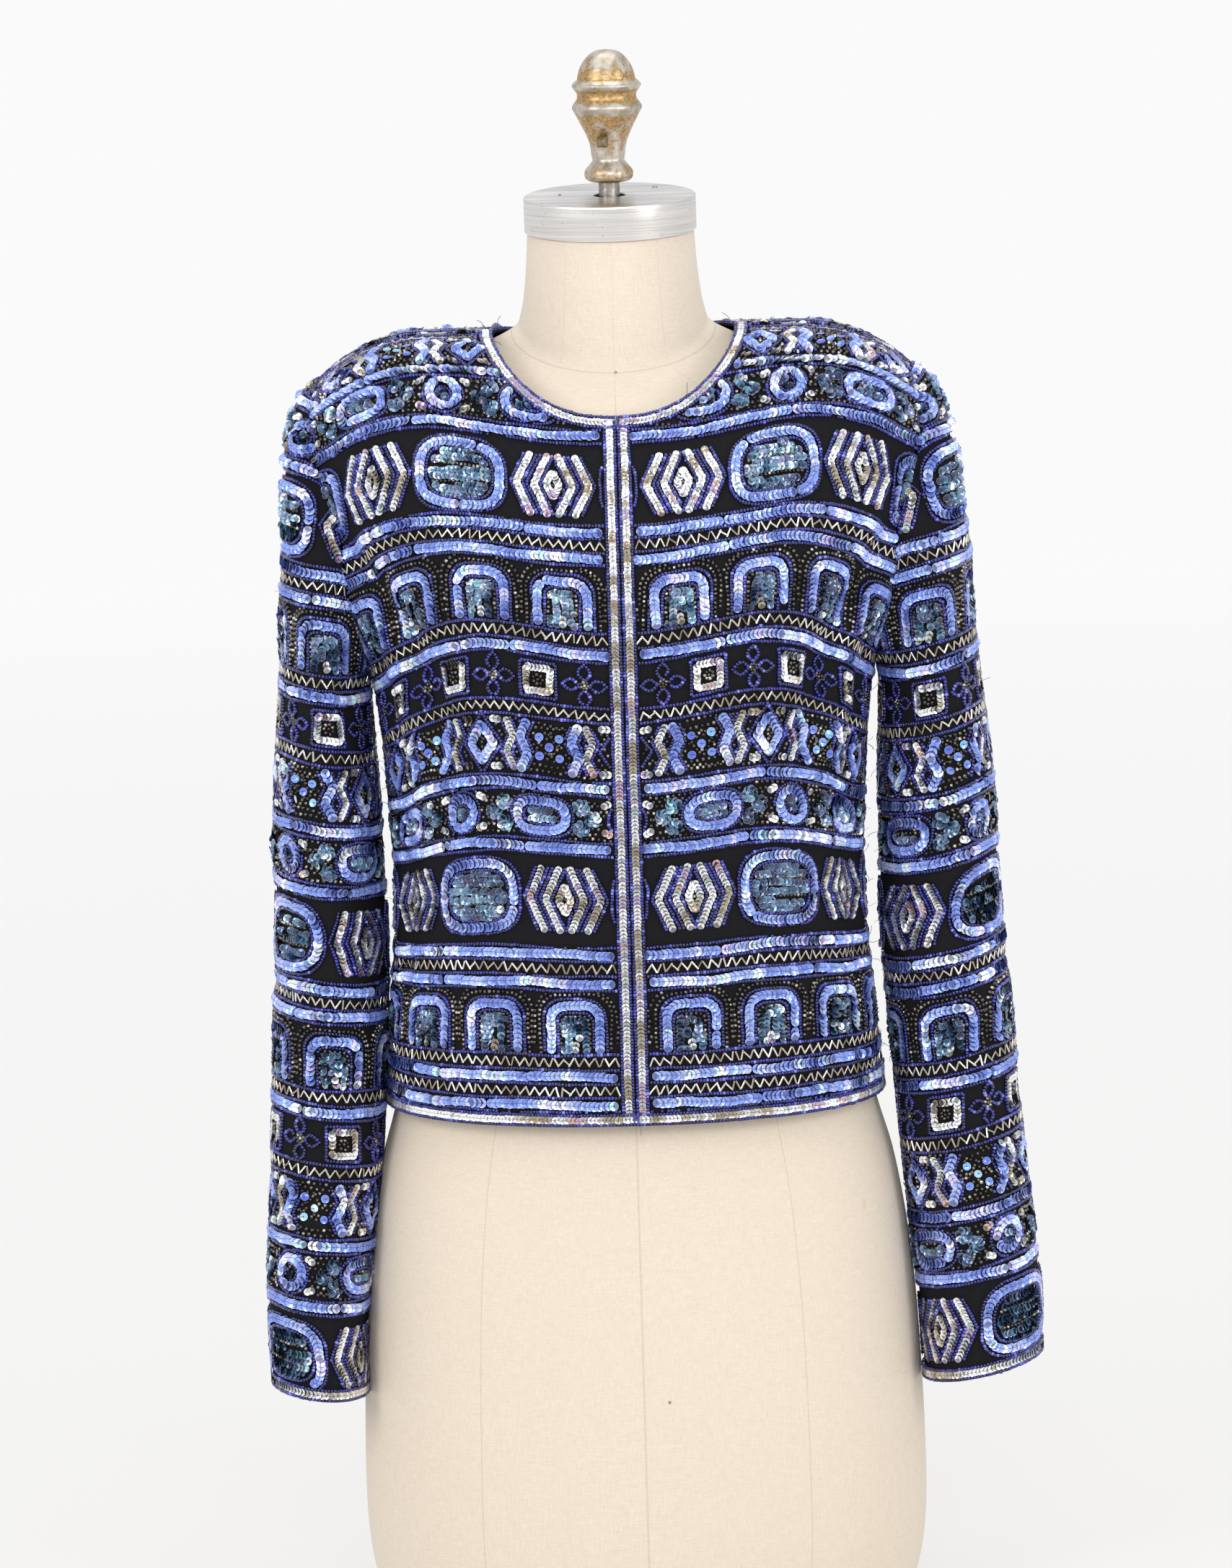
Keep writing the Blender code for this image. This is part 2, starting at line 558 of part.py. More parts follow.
def hook_and_eye(name, collection, material):
    """The fastened wire hook and eye that hold the two fronts together at the neck."""
    above, below = HOOK_RINGS_BELOW_NECK
    _, y, z = jacket_point(FRONT_NECK_RING - above, 0.0)
    _, y_low, z_low = jacket_point(FRONT_NECK_RING - below, 0.0)
    curve = bpy.data.curves.new(name, "CURVE")
    curve.dimensions = "3D"
    curve.bevel_depth = HOOK_WIRE_RADIUS
    curve.bevel_resolution = 1
    spline = curve.splines.new("POLY")
    spline.points.add(HOOK_STEPS - 1)
    spline.use_cyclic_u = True
    up = np.array((0.0, y - y_low, z - z_low))
    up /= np.linalg.norm(up)
    middle = np.array((0.0, (y + y_low) / 2.0, (z + z_low) / 2.0))
    middle += np.array((0.0, -up[2], up[1])) * (HOOK_WIRE_RADIUS + 2.0 * TOUCH_GAP)
    for k in range(HOOK_STEPS):
        a = 2.0 * math.pi * k / HOOK_STEPS
        squeeze = 1.0 - HOOK_SQUEEZE + HOOK_SQUEEZE * abs(math.cos(a))
        across = np.array((HOOK_LENGTH / 2.0 * math.cos(a), 0.0, 0.0))
        spline.points[k].co = (*(middle + across + up * HOOK_HEIGHT / 2.0 * squeeze * math.sin(a)), 1.0)
    obj = bpy.data.objects.new(name, curve)
    obj.data.materials.append(material)
    collection.objects.link(obj)
    return obj


def finish(name, colour, roughness, metallic=0.0):
    material = bpy.data.materials.new(name)
    material.use_nodes = True
    shader = material.node_tree.nodes["Principled BSDF"]
    shader.inputs["Base Color"].default_value = (*colour, 1.0)
    shader.inputs["Roughness"].default_value = roughness
    shader.inputs["Metallic"].default_value = metallic
    return material


def main():
    clear_scene()
    collection = bpy.data.collections.new("sequin_jacket_on_dress_form")
    bpy.context.scene.collection.children.link(collection)
    cloth = finish("sequinned_cloth", (0.06, 0.09, 0.38), 0.45)
    linen = finish("linen_cover", (0.80, 0.68, 0.51), 0.85)
    aluminium = finish("brushed_aluminium", (0.74, 0.74, 0.76), 0.35, 1.0)
    steel = finish("dull_steel", (0.42, 0.40, 0.38), 0.45, 1.0)
    gilt = finish("worn_gilt", (0.62, 0.45, 0.20), 0.45, 0.8)

    front_panel("front_left", -1, collection, cloth)
    front_panel("front_right", 1, collection, cloth)
    back_panel("back", collection, cloth)
    sleeve("sleeve_left", -1, LEFT_SLEEVE, collection, cloth)
    sleeve("sleeve_right", 1, RIGHT_SLEEVE, collection, cloth)
    hook_and_eye("neck_hook_and_eye", collection, steel)

    form_torso("form_torso", collection, linen)
    neck_cap("form_neck_cap", collection, aluminium)
    rod("form_finial_rod", collection, steel)
    finial = turned("form_finial", FINIAL_PROFILE, FINIAL_STEPS, collection, gilt)
    finial.location = (0.0, CAP_BASE[1], FINIAL_BASE_Z)
    set_bolt("form_set_bolt", collection, steel)


main()
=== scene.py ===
# %% [markdown]
# # A sequinned evening jacket on a dress form
#
# The real thing is a short, collarless jacket of black crepe. Hands with a hooked needle have covered
# it with bands of blue sequins, silver sequins, glass seed beads and bugle beads, and it hangs on a
# limbless dress form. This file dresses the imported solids. It starts by loading them, because every
# cloth, bead and sequin below is placed on the shape that the solids have.

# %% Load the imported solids
import math

import bmesh
import bpy
import numpy as np
from mathutils import Matrix, Vector


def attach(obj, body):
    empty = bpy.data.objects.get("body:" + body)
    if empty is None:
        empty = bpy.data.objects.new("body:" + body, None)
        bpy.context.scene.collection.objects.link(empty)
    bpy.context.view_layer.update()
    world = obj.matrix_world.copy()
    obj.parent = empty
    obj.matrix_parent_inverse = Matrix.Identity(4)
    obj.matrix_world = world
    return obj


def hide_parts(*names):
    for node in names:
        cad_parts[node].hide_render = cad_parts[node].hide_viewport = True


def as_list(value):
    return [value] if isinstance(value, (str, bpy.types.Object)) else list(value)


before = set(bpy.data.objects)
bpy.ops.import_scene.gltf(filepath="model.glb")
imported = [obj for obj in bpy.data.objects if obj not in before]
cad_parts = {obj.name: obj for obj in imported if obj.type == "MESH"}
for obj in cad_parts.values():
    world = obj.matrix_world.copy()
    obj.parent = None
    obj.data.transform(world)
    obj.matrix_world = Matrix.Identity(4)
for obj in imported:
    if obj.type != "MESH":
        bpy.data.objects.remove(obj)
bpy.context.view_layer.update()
MM = 0.001
print("solids:", ", ".join(sorted(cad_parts)))

# %% [markdown]
# ## The jacket's loft
#
# A pattern cutter thinks of the body as level rings of cloth: hem, waist, bust, chest and so on. Each
# ring below has its heights at front, bust point, side and back, its half width, and its depth. The
# beadwork follows the weave of the cloth, so the same rings serve twice: they give the surface, and
# they give the level lines that the bands of beadwork run along. Ray casts on the solids could give
# the surface as well, but they don't know where a thread of the weave runs.

# %% Rings of the body and sections of the sleeves
JACKET_COLUMNS = (
    "z_front", "z_bust", "z_side", "z_back", "half_width", "front", "back", "square", "y_mid",
)
JACKET_RINGS = {
    "hem": (0.328, 0.328, 0.328, 0.327, 0.1575, 0.1150, 0.1190, 2.25, 0.000),
    "high_hip": (0.389, 0.390, 0.384, 0.387, 0.1520, 0.1140, 0.1140, 2.25, 0.000),
    "waist": (0.470, 0.473, 0.457, 0.468, 0.1470, 0.1155, 0.1050, 2.20, 0.000),
    "ribs": (0.545, 0.551, 0.521, 0.540, 0.1490, 0.1215, 0.1030, 2.20, 0.000),
    "bust": (0.625, 0.634, 0.594, 0.615, 0.1560, 0.1290, 0.1070, 2.20, 0.000),
    "underarm": (0.665, 0.675, 0.634, 0.655, 0.1720, 0.1260, 0.1090, 2.30, 0.000),
    "chest": (0.705, 0.715, 0.676, 0.700, 0.1880, 0.1140, 0.1110, 2.50, 0.002),
    "upper_chest": (0.745, 0.758, 0.720, 0.747, 0.1960, 0.0970, 0.1080, 2.60, 0.004),
    "collar": (0.779, 0.788, 0.746, 0.784, 0.2000, 0.0740, 0.0910, 2.60, 0.006),
    "shoulder": (0.803, 0.806, 0.757, 0.807, 0.2020, 0.0420, 0.0580, 2.60, 0.007),
    "shoulder_seam": (0.814, 0.812, 0.764, 0.8125, 0.2030, 0.0005, 0.0005, 2.60, 0.008),
}
UNDERARM_RING, SHOULDER_RING = 4.2, 10.0
SEAM_GAP = 0.0004
FRONT_NECK_RING, BACK_NECK_RING = 7.6, 8.9
NECK_HALF_WIDTH, NECK_ROUNDNESS = 0.0755, 2.5
BUST_ANGLE, SIDE_ANGLE, BLADE_ANGLE, BACK_ANGLE = 30.0, 90.0, 150.0, 180.0
ARMHOLE_SHARE = {4.2: 1.0, 5.0: 0.965, 6.0: 0.934, 7.0: 0.944, 8.0: 0.940, 9.0: 0.926, 10.0: 0.906}

SLEEVE_COLUMNS = ("z", "x_middle", "y_middle", "half_width", "half_depth", "tilt")
LEFT_SLEEVE = {
    "biceps": (0.594, 0.1880, 0.002, 0.0275, 0.0590, 0.006),
    "above_elbow": (0.520, 0.1890, 0.002, 0.0325, 0.0560, 0.010),
    "elbow": (0.450, 0.1890, 0.002, 0.0345, 0.0530, 0.012),
    "below_elbow": (0.368, 0.1922, -0.003, 0.0352, 0.0500, 0.012),
    "forearm": (0.280, 0.1980, -0.014, 0.0340, 0.0465, 0.010),
    "low_forearm": (0.199, 0.2050, -0.024, 0.0310, 0.0440, 0.009),
    "cuff": (0.1480, 0.2052, -0.029, 0.0296, 0.0425, 0.009),
}
RIGHT_SLEEVE = {
    "biceps": (0.594, 0.1925, 0.002, 0.0305, 0.0580, 0.006),
    "above_elbow": (0.520, 0.1950, 0.002, 0.0355, 0.0540, 0.012),
    "elbow": (0.450, 0.1960, 0.002, 0.0375, 0.0510, 0.015),
    "below_elbow": (0.368, 0.2015, -0.003, 0.0380, 0.0480, 0.016),
    "forearm": (0.280, 0.2075, -0.012, 0.0375, 0.0445, 0.016),
    "low_forearm": (0.199, 0.2150, -0.020, 0.0380, 0.0420, 0.016),
    "cuff": (0.1500, 0.2160, -0.024, 0.0372, 0.0405, 0.016),
}
HEAD_REACH, HEAD_DROP, HEAD_LEAN, HEAD_HANG = 0.0280, 0.0100, 0.0080, 0.1060
FRONT_REACH, FRONT_SWELL, FRONT_HANG = 0.0110, 0.0060, 0.0550
UNDERARM_DIP, UNDERARM_SHARE, HEAD_RADIUS = 0.0040, 0.62, 0.0500


# %% Smooth curves through a table's rows
def smoothstep(u):
    u = np.clip(u, 0.0, 1.0)
    return u * u * (3.0 - 2.0 * u)


def along(stations, values, at):
    """Cubic Hermite curve through the values at their stations, slopes from the neighbours."""
    stations, values = np.asarray(list(stations), float), np.asarray(list(values), float)
    at = min(max(at, stations[0]), stations[-1])
    last = len(stations) - 1
    i = min(max(int(np.searchsorted(stations, at, side="right")) - 1, 0), last - 1)

    def slope(k):
        a, b = max(k - 1, 0), min(k + 1, last)
        return (values[b] - values[a]) / (stations[b] - stations[a])

    span = stations[i + 1] - stations[i]
    u = (at - stations[i]) / span
    return (
        values[i] * (2 * u**3 - 3 * u**2 + 1)
        + slope(i) * span * (u**3 - 2 * u**2 + u)
        + values[i + 1] * (3 * u**2 - 2 * u**3)
        + slope(i + 1) * span * (u**3 - u**2)
    )


def row_of(table, columns, at):
    return dict(zip(columns, along(range(len(table)), list(table.values()), at)))


# %% [markdown]
# ## Folds
#
# Worn cloth is never even. The large troughs are in the solids already: a drag line from each armhole,
# a pull at the waist and creases at the elbow. Each is a line from one place to another with a depth
# and a width. Finer creases are added later, on the cloth alone.

# %% The solids' own troughs
BODY_FOLDS = {
    # angle_low, z_low, angle_high, z_high, depth, width
    "armhole_drag": (47.0, 0.575, 64.0, 0.700, 0.0070, 0.018),
    "side_waist": (72.0, 0.410, 66.0, 0.540, 0.0045, 0.020),
    "front_hang": (26.0, 0.345, 30.0, 0.520, 0.0030, 0.020),
    "back_waist": (150.0, 0.400, 140.0, 0.560, 0.0050, 0.020),
    "back_armhole_drag": (128.0, 0.580, 112.0, 0.700, 0.0060, 0.018),
}
SLEEVE_FOLDS = {
    # turn_low, z_low, turn_high, z_high, depth, width
    "armpit_drag": (0.33, 0.590, 0.20, 0.680, 0.0045, 0.020),
    "elbow_front": (0.22, 0.430, 0.42, 0.480, 0.0035, 0.018),
    "elbow_back": (0.80, 0.440, 0.58, 0.500, 0.0035, 0.018),
    "forearm_front": (0.30, 0.270, 0.12, 0.330, 0.0025, 0.018),
}


FOLD_RUN_ON, FOLD_FADE = 0.3, 0.5  # shares of a trough's length, past its ends and where it fades


def trough(place, z, fold, metres_per_unit):
    low, z_low, high, z_high, depth, width = fold
    share = (z - z_low) / (z_high - z_low)
    slant = (high - low) * metres_per_unit / (z_high - z_low)
    off = (place - low - (high - low) * share) * metres_per_unit / math.hypot(1.0, slant) / width
    fade = smoothstep((share + FOLD_RUN_ON) / FOLD_FADE)
    fade = fade * smoothstep((1.0 + FOLD_RUN_ON - share) / FOLD_FADE)
    return depth * np.exp(-off * off) * fade


# %% Points of the body and of a sleeve
def body_row(ring, angles):
    """Points of one ring of the body on the +X half, angles in degrees from the front."""
    size = row_of(JACKET_RINGS, JACKET_COLUMNS, ring)
    angles = np.asarray(angles, float)
    s, c = np.sin(np.radians(angles)), np.cos(np.radians(angles))
    power = 2.0 / size["square"]
    x = size["half_width"] * np.abs(s) ** power
    depth = np.where(c >= 0.0, size["front"], size["back"])
    y = -np.sign(c) * depth * np.abs(c) ** power
    to_bust = smoothstep(angles / BUST_ANGLE)
    to_side = smoothstep((angles - BUST_ANGLE) / (SIDE_ANGLE - BUST_ANGLE))
    to_back = smoothstep((angles - SIDE_ANGLE) / (BLADE_ANGLE - SIDE_ANGLE))
    z = size["z_front"] + (size["z_bust"] - size["z_front"]) * to_bust
    z = z + (size["z_side"] - size["z_bust"]) * to_side + (size["z_back"] - size["z_side"]) * to_back
    per_degree = math.radians(1.0) * size["half_width"]
    inward = sum(trough(angles, z, fold, per_degree) for fold in BODY_FOLDS.values())
    shrink = 1.0 - inward / np.maximum(np.hypot(x, y), 0.02)
    return np.stack([x * shrink, y * shrink + size["y_mid"], z], axis=1)


def angle_at_x(ring, x, behind=False):
    size = row_of(JACKET_RINGS, JACKET_COLUMNS, ring)
    share = min(1.0, max(0.0, x / size["half_width"]))
    angle = math.degrees(math.asin(share ** (size["square"] / 2.0)))
    return BACK_ANGLE - angle if behind else angle


def seam_angle(ring, behind):
    """Where a ring of the front or back ends: the side seam, or the armhole above it."""
    if ring <= UNDERARM_RING:
        return SIDE_ANGLE
    share = along(ARMHOLE_SHARE.keys(), ARMHOLE_SHARE.values(), ring)
    half_width = row_of(JACKET_RINGS, JACKET_COLUMNS, ring)["half_width"]
    arm = angle_at_x(ring, share * half_width, behind)
    return max(arm, SIDE_ANGLE) if behind else min(arm, SIDE_ANGLE)


def neck_x(ring, lowest_ring):
    rise = min(1.0, max(0.0, (ring - lowest_ring) / (SHOULDER_RING - lowest_ring)))
    return NECK_HALF_WIDTH * (1.0 - (1.0 - rise) ** NECK_ROUNDNESS) ** (1.0 / NECK_ROUNDNESS)


armhole_lines = [None, None]  # worked out once, in front and behind


def armhole_point(turn):
    """A point of the armhole seam on the +X side, turn from the shoulder down the front and round."""
    behind = turn > 0.5
    rings = np.concatenate([
        np.linspace(SHOULDER_RING, UNDERARM_RING + 0.8, 30),
        UNDERARM_RING + 0.8 * np.linspace(1.0, 0.0, 20)[1:] ** 2,
    ])
    line = armhole_lines[behind]
    if line is None:
        points = np.array([body_row(r, [seam_angle(r, behind)])[0] for r in rings])
        length = np.concatenate([[0], np.cumsum(np.linalg.norm(np.diff(points, axis=0), axis=1))])
        line = armhole_lines[behind] = (points, length / length[-1])
    points, share = line
    at = 2.0 * turn if turn <= 0.5 else 2.0 - 2.0 * turn
    return np.array([np.interp(at, share, points[:, axis]) for axis in range(3)])


def sleeve_section(table, at, turn):
    size = row_of(table, SLEEVE_COLUMNS, at)
    across, deep = size["half_width"], size["half_depth"]
    around = math.pi * (across + deep)
    inward = sum(trough(turn, size["z"], fold, around) for fold in SLEEVE_FOLDS.values())
    a = 2.0 * math.pi * turn
    out = math.cos(a)
    return np.array((
        size["x_middle"] + (across - inward) * out,
        size["y_middle"] - (deep - inward) * math.sin(a),
        size["z"] + 0.5 * size["tilt"] * out,
    ))


def sleeve_head(seam, end, turn, u):
    """Points between the armhole seam (u = 0) and the biceps section (u = 1)."""
    top = 0.5 + 0.5 * math.cos(2.0 * math.pi * turn)
    facing = math.sin(2.0 * math.pi * turn)
    under = max(0.0, 1.0 - top / UNDERARM_SHARE)
    reach = FRONT_REACH + (HEAD_REACH - FRONT_REACH) * top**2
    hang = FRONT_HANG * (1.0 - (1.0 - top) ** 4) + (HEAD_HANG - FRONT_HANG) * top**2
    swell = FRONT_SWELL * facing * (1.0 - under)
    drop = HEAD_DROP * top**4 + UNDERARM_DIP * under
    leave = seam + np.array((reach * (1.0 - under), -swell, -drop))
    arrive = end + np.array((-HEAD_LEAN * top**2, 0.0, hang + UNDERARM_DIP * under))
    u = np.asarray(u)[:, None]
    v = 1.0 - u
    points = v**3 * seam + 3 * v * v * u * leave + 3 * v * u * u * arrive + u**3 * end
    around = 2.0 * math.pi * HEAD_RADIUS
    inward = sum(trough(turn, points[:, 2], fold, around) for fold in SLEEVE_FOLDS.values())
    u = u[:, 0]
    points[:, 1] += inward * smoothstep(2.0 * u) * (1.0 - smoothstep(u)) * math.copysign(1.0, facing)
    return points


# %% [markdown]
# ## Cloth coordinates
#
# An embroiderer works on flat pieces stretched in a frame, before the jacket is sewn. So each piece
# here gets its own flat coordinates in millimetres: u runs across the cloth along the weave, and v
# runs up it. A table of surface points on an even grid of u and v then says where any stitch of the
# flat chart lands on the hanging cloth, which way is out of the cloth there, and how the weave runs.
# It costs little, and it keeps every motif its true size however the body swells.

# %% A piece of cloth that maps its flat chart to the hanging surface
GRID_STEP = 2.5  # millimetres between the grid's points


def unit(vectors):
    return vectors / np.maximum(np.linalg.norm(vectors, axis=-1, keepdims=True), 1e-9)


class Cloth:
    """One cut piece. points[i, k] is where the cloth at v = i steps and u = u_low + k steps hangs."""

    def __init__(self, name, u_low, points, facing, outline, trims):
        self.name, self.u_low, self.points, self.facing = name, u_low, points, facing
        self.outline, self.trims = np.asarray(outline), trims
        self.find_directions()

    def find_directions(self):
        self.across = unit(np.gradient(self.points, axis=1))
        self.out = unit(np.cross(self.across, np.gradient(self.points, axis=0))) * self.facing
        self.up = np.cross(self.out, self.across) * self.facing

    def push(self, depth_at):
        """Moves the surface inward by a depth in millimetres, worked out at each u and v."""
        rows, columns = self.points.shape[:2]
        v, u = np.meshgrid(np.arange(rows) * GRID_STEP, self.u_low + np.arange(columns) * GRID_STEP,
                           indexing="ij")
        self.points = self.points - self.out * depth_at(u, v)[..., None] * MM
        self.find_directions()

    def look_up(self, table, u, v):
        rows, columns = table.shape[:2]
        i = np.clip(np.asarray(v, float) / GRID_STEP, 0, rows - 1.001)
        k = np.clip((np.asarray(u, float) - self.u_low) / GRID_STEP, 0, columns - 1.001)
        i0, k0 = i.astype(int), k.astype(int)
        up_share, side_share = (i - i0)[..., None], (k - k0)[..., None]
        low = table[i0, k0] * (1 - side_share) + table[i0, k0 + 1] * side_share
        high = table[i0 + 1, k0] * (1 - side_share) + table[i0 + 1, k0 + 1] * side_share
        return low * (1 - up_share) + high * up_share

    def is_inside(self, u, v):
        """Which points lie inside the cut outline, by counting the edges to their right."""
        inside = np.zeros(len(u), bool)
        for (u0, v0), (u1, v1) in zip(self.outline, np.roll(self.outline, -1, axis=0)):
            if v0 == v1:
                continue
            crosses = (v0 > v) != (v1 > v)
            inside ^= crosses & (u < u0 + (v - v0) * (u1 - u0) / (v1 - v0))
        return inside

    def area(self):
        u, v = self.outline.T
        return 0.5 * abs(np.dot(u, np.roll(v, -1)) - np.dot(v, np.roll(u, -1))) * MM * MM


def distance_to(lines, u, v):
    """Distance in millimetres from each (u, v) to the nearest of some polylines."""
    best = np.full(len(u), 1e9)
    for line in lines:
        for a, b in zip(line[:-1], line[1:]):
            du, dv = b[0] - a[0], b[1] - a[1]
            t = np.clip(((u - a[0]) * du + (v - a[1]) * dv) / max(du * du + dv * dv, 1e-9), 0.0, 1.0)
            best = np.minimum(best, np.hypot(u - a[0] - t * du, v - a[1] - t * dv))
    return best


def arc_length(points):
    return np.concatenate([[0.0], np.cumsum(np.linalg.norm(np.diff(points, axis=0), axis=1))]) / MM


# %% Grids of the fronts and the back
BODY_ANGLES = np.linspace(0.0, 96.0, 193)
NECK_SAMPLES = 70
EXTRA_COLUMNS = 3
FRONT_LINE, BACK_LINE = 25.0, 155.0  # degrees, where a chart's heights are measured


class BodyHalf:
    """The +X half of the front or the back: its grid, its neckline and its outer edge."""

    def __init__(self, behind, reference_angle, neck_ring):
        self.behind = behind
        self.angles = BACK_ANGLE - BODY_ANGLES if behind else BODY_ANGLES
        rings = np.linspace(0.0, SHOULDER_RING, 401)
        line = np.array([body_row(r, [reference_angle])[0] for r in rings])
        self.ring_heights = (rings, arc_length(line))
        self.top = self.ring_heights[1][-1]
        self.v = np.append(np.arange(0.0, self.top, GRID_STEP), self.top)
        rows = [self.row(ring) for ring in self.ring_at(self.v)]
        self.ends = np.array([self.place(ring, seam_angle(ring, behind)) for ring in self.ring_at(self.v)])
        self.u = np.arange(int(self.ends.max() / GRID_STEP) + EXTRA_COLUMNS) * GRID_STEP
        table = [[np.interp(self.u, arc, points[:, axis]) for axis in range(3)] for arc, points in rows[:-1]]
        self.grid = np.array(table).transpose(0, 2, 1)
        rise = np.linspace(0.0, 1.0, NECK_SAMPLES) ** NECK_ROUNDNESS
        neck_rings = neck_ring + (SHOULDER_RING - neck_ring) * rise
        starts = [self.place(r, angle_at_x(r, neck_x(r, neck_ring), behind)) for r in neck_rings]
        self.neckline = np.stack([starts, self.height_of(neck_rings)], 1)

    def ring_at(self, v):
        return np.interp(v, self.ring_heights[1], self.ring_heights[0])

    def height_of(self, ring):
        return np.interp(ring, *self.ring_heights)

    def row(self, ring):
        points = body_row(ring, self.angles)
        return arc_length(points), points

    def place(self, ring, angle):
        arc, _ = self.row(ring)
        order = -1.0 if self.behind else 1.0
        return np.interp(order * angle, order * self.angles, arc)

    def outer_edge(self):
        return np.stack([self.ends, self.v], 1)

    def span(self, v):
        """Where a level of the cloth starts at the middle or the neckline, and where it ends."""
        start = 0.0 if v < self.neckline[0, 1] else np.interp(v, self.neckline[:, 1], self.neckline[:, 0])
        return start, np.interp(v, self.v, self.ends)


front_half = BodyHalf(False, FRONT_LINE, FRONT_NECK_RING)
back_half = BodyHalf(True, BACK_LINE, BACK_NECK_RING)


def front_cloth(name, side):
    half = front_half
    outline = [(0.0, 0.0), *half.outer_edge(), *half.neckline[::-1]]
    hem = np.array([(0.0, 0.0), (half.ends[0], 0.0)])
    edge = np.array([(0.0, 0.0), half.neckline[0]])
    trims = {"hem": hem, "edge": edge, "neck": half.neckline}
    cloth = Cloth(name, 0.0, half.grid * np.array((side, 1.0, 1.0)), side, outline, trims)
    cloth.half = half
    return cloth


def back_cloth(name):
    half = back_half
    points = np.concatenate([half.grid[:, :0:-1], half.grid * np.array((-1.0, 1.0, 1.0))], axis=1)
    flip = np.array((-1.0, 1.0))
    outer, neck = half.outer_edge(), half.neckline
    outline = [*outer, *neck[::-1], *(neck * flip), *(outer[::-1] * flip)]
    hem = np.array([outer[0] * flip, outer[0]])
    trims = {"hem": hem, "neck": np.array([*(neck[::-1] * flip), *neck[1:]])}
    cloth = Cloth(name, -half.u[-1], points, 1, outline, trims)
    cloth.half = half
    return cloth


# %% Grids of the sleeves
SLEEVE_TURNS = 72
TUBE_STATIONS, HEAD_STATIONS = 90, 45


def sleeve_columns(table):
    """Columns of a sleeve from the cuff up to the armhole seam, one for each turn round."""
    last = len(table) - 1
    for turn in np.arange(-SLEEVE_TURNS // 2, SLEEVE_TURNS // 2 + 1) / SLEEVE_TURNS:
        turn = turn % 1.0
        tube = [sleeve_section(table, at, turn) for at in np.linspace(last, 0.0, TUBE_STATIONS)]
        seam = armhole_point(turn) + np.array((SEAM_GAP, 0.0, 0.0))
        head = sleeve_head(seam, tube[-1], turn, np.linspace(1.0, 0.0, HEAD_STATIONS)[1:])
        column = np.array([*tube, *head])
        yield arc_length(column), column


def sleeve_cloth(name, side, table):
    """u is 0 on the sleeve's outer line and grows to the front; v runs up from the cuff."""
    columns = list(sleeve_columns(table))
    tops = np.array([arc[-1] for arc, _ in columns])
    v = np.arange(0.0, tops.max(), GRID_STEP)
    hang = np.array([[np.interp(v, arc, points[:, axis]) for axis in range(3)] for arc, points in columns])
    hang = hang.transpose(2, 0, 1)
    arcs = np.array([arc_length(row) for row in hang])
    arcs -= arcs[:, len(columns) // 2][:, None]
    reach = np.abs(arcs).max() + EXTRA_COLUMNS * GRID_STEP
    u = np.arange(-reach, reach, GRID_STEP)
    grid = np.array([[np.interp(u, arc, row[:, axis]) for axis in range(3)] for arc, row in zip(arcs, hang)])
    armhole = [(np.interp(top, v, arcs[:, k]), top) for k, top in enumerate(tops)]
    below = v < tops[0]
    left, right = np.stack([arcs[:, 0], v], 1)[below], np.stack([arcs[:, -1], v], 1)[below]
    trims = {"hem": np.array([left[0], right[0]])}
    points = grid.transpose(0, 2, 1) * np.array((side, 1.0, 1.0))
    cloth = Cloth(name, u[0], points, -side, [*left[:1], *right, *armhole[::-1], *left[:0:-1]], trims)
    cloth.arcs, cloth.tops, cloth.v = arcs, tops, v
    return cloth


fronts = {-1: front_cloth("front_left", -1), 1: front_cloth("front_right", 1)}
back = back_cloth("back")
sleeves = {-1: sleeve_cloth("sleeve_left", -1, LEFT_SLEEVE), 1: sleeve_cloth("sleeve_right", 1, RIGHT_SLEEVE)}
cloths = (*fronts.values(), back, *sleeves.values())
for cloth in cloths:
    length = round(cloth.outline[:, 1].max())
    print(cloth.name, "area", round(cloth.area(), 4), "m2, up to", length, "mm long")

# %% [markdown]
# ## Creases
#
# Beaded crepe is heavy, so it creases in short soft waves: across the elbow, from the armhole, and
# where the body narrows at the waist. Each is given as a line in the cloth's own coordinates,
# with a depth and a width in millimetres; a negative depth makes a ridge. A cloth simulation was the
# other way, but the beadwork stiffens the cloth so much that these listed waves come closer.

# %% Creases, listed
CREASE_COLUMNS = ("u_from", "v_from", "u_to", "v_to", "depth", "width")
FRONT_CREASES = (
    (168.0, 250.0, 196.0, 330.0, 3.2, 9.0),
    (150.0, 300.0, 186.0, 372.0, -1.6, 11.0),
    (128.0, 60.0, 138.0, 175.0, 1.8, 12.0),
    (186.0, 40.0, 176.0, 190.0, -1.8, 13.0),
    (70.0, 12.0, 82.0, 120.0, -1.2, 16.0),
    (36.0, 300.0, 96.0, 318.0, 0.9, 12.0),
    (92.0, 500.0, 170.0, 478.0, 1.2, 12.0),
    (26.0, 20.0, 30.0, 230.0, 0.8, 12.0),
)
LEFT_EXTRA_CREASES = ((102.0, 190.0, 150.0, 236.0, 1.6, 10.0), (178.0, 392.0, 190.0, 470.0, 1.6, 9.0))
RIGHT_EXTRA_CREASES = ((118.0, 214.0, 160.0, 232.0, 1.2, 9.0), (172.0, 400.0, 188.0, 452.0, 2.0, 9.0))
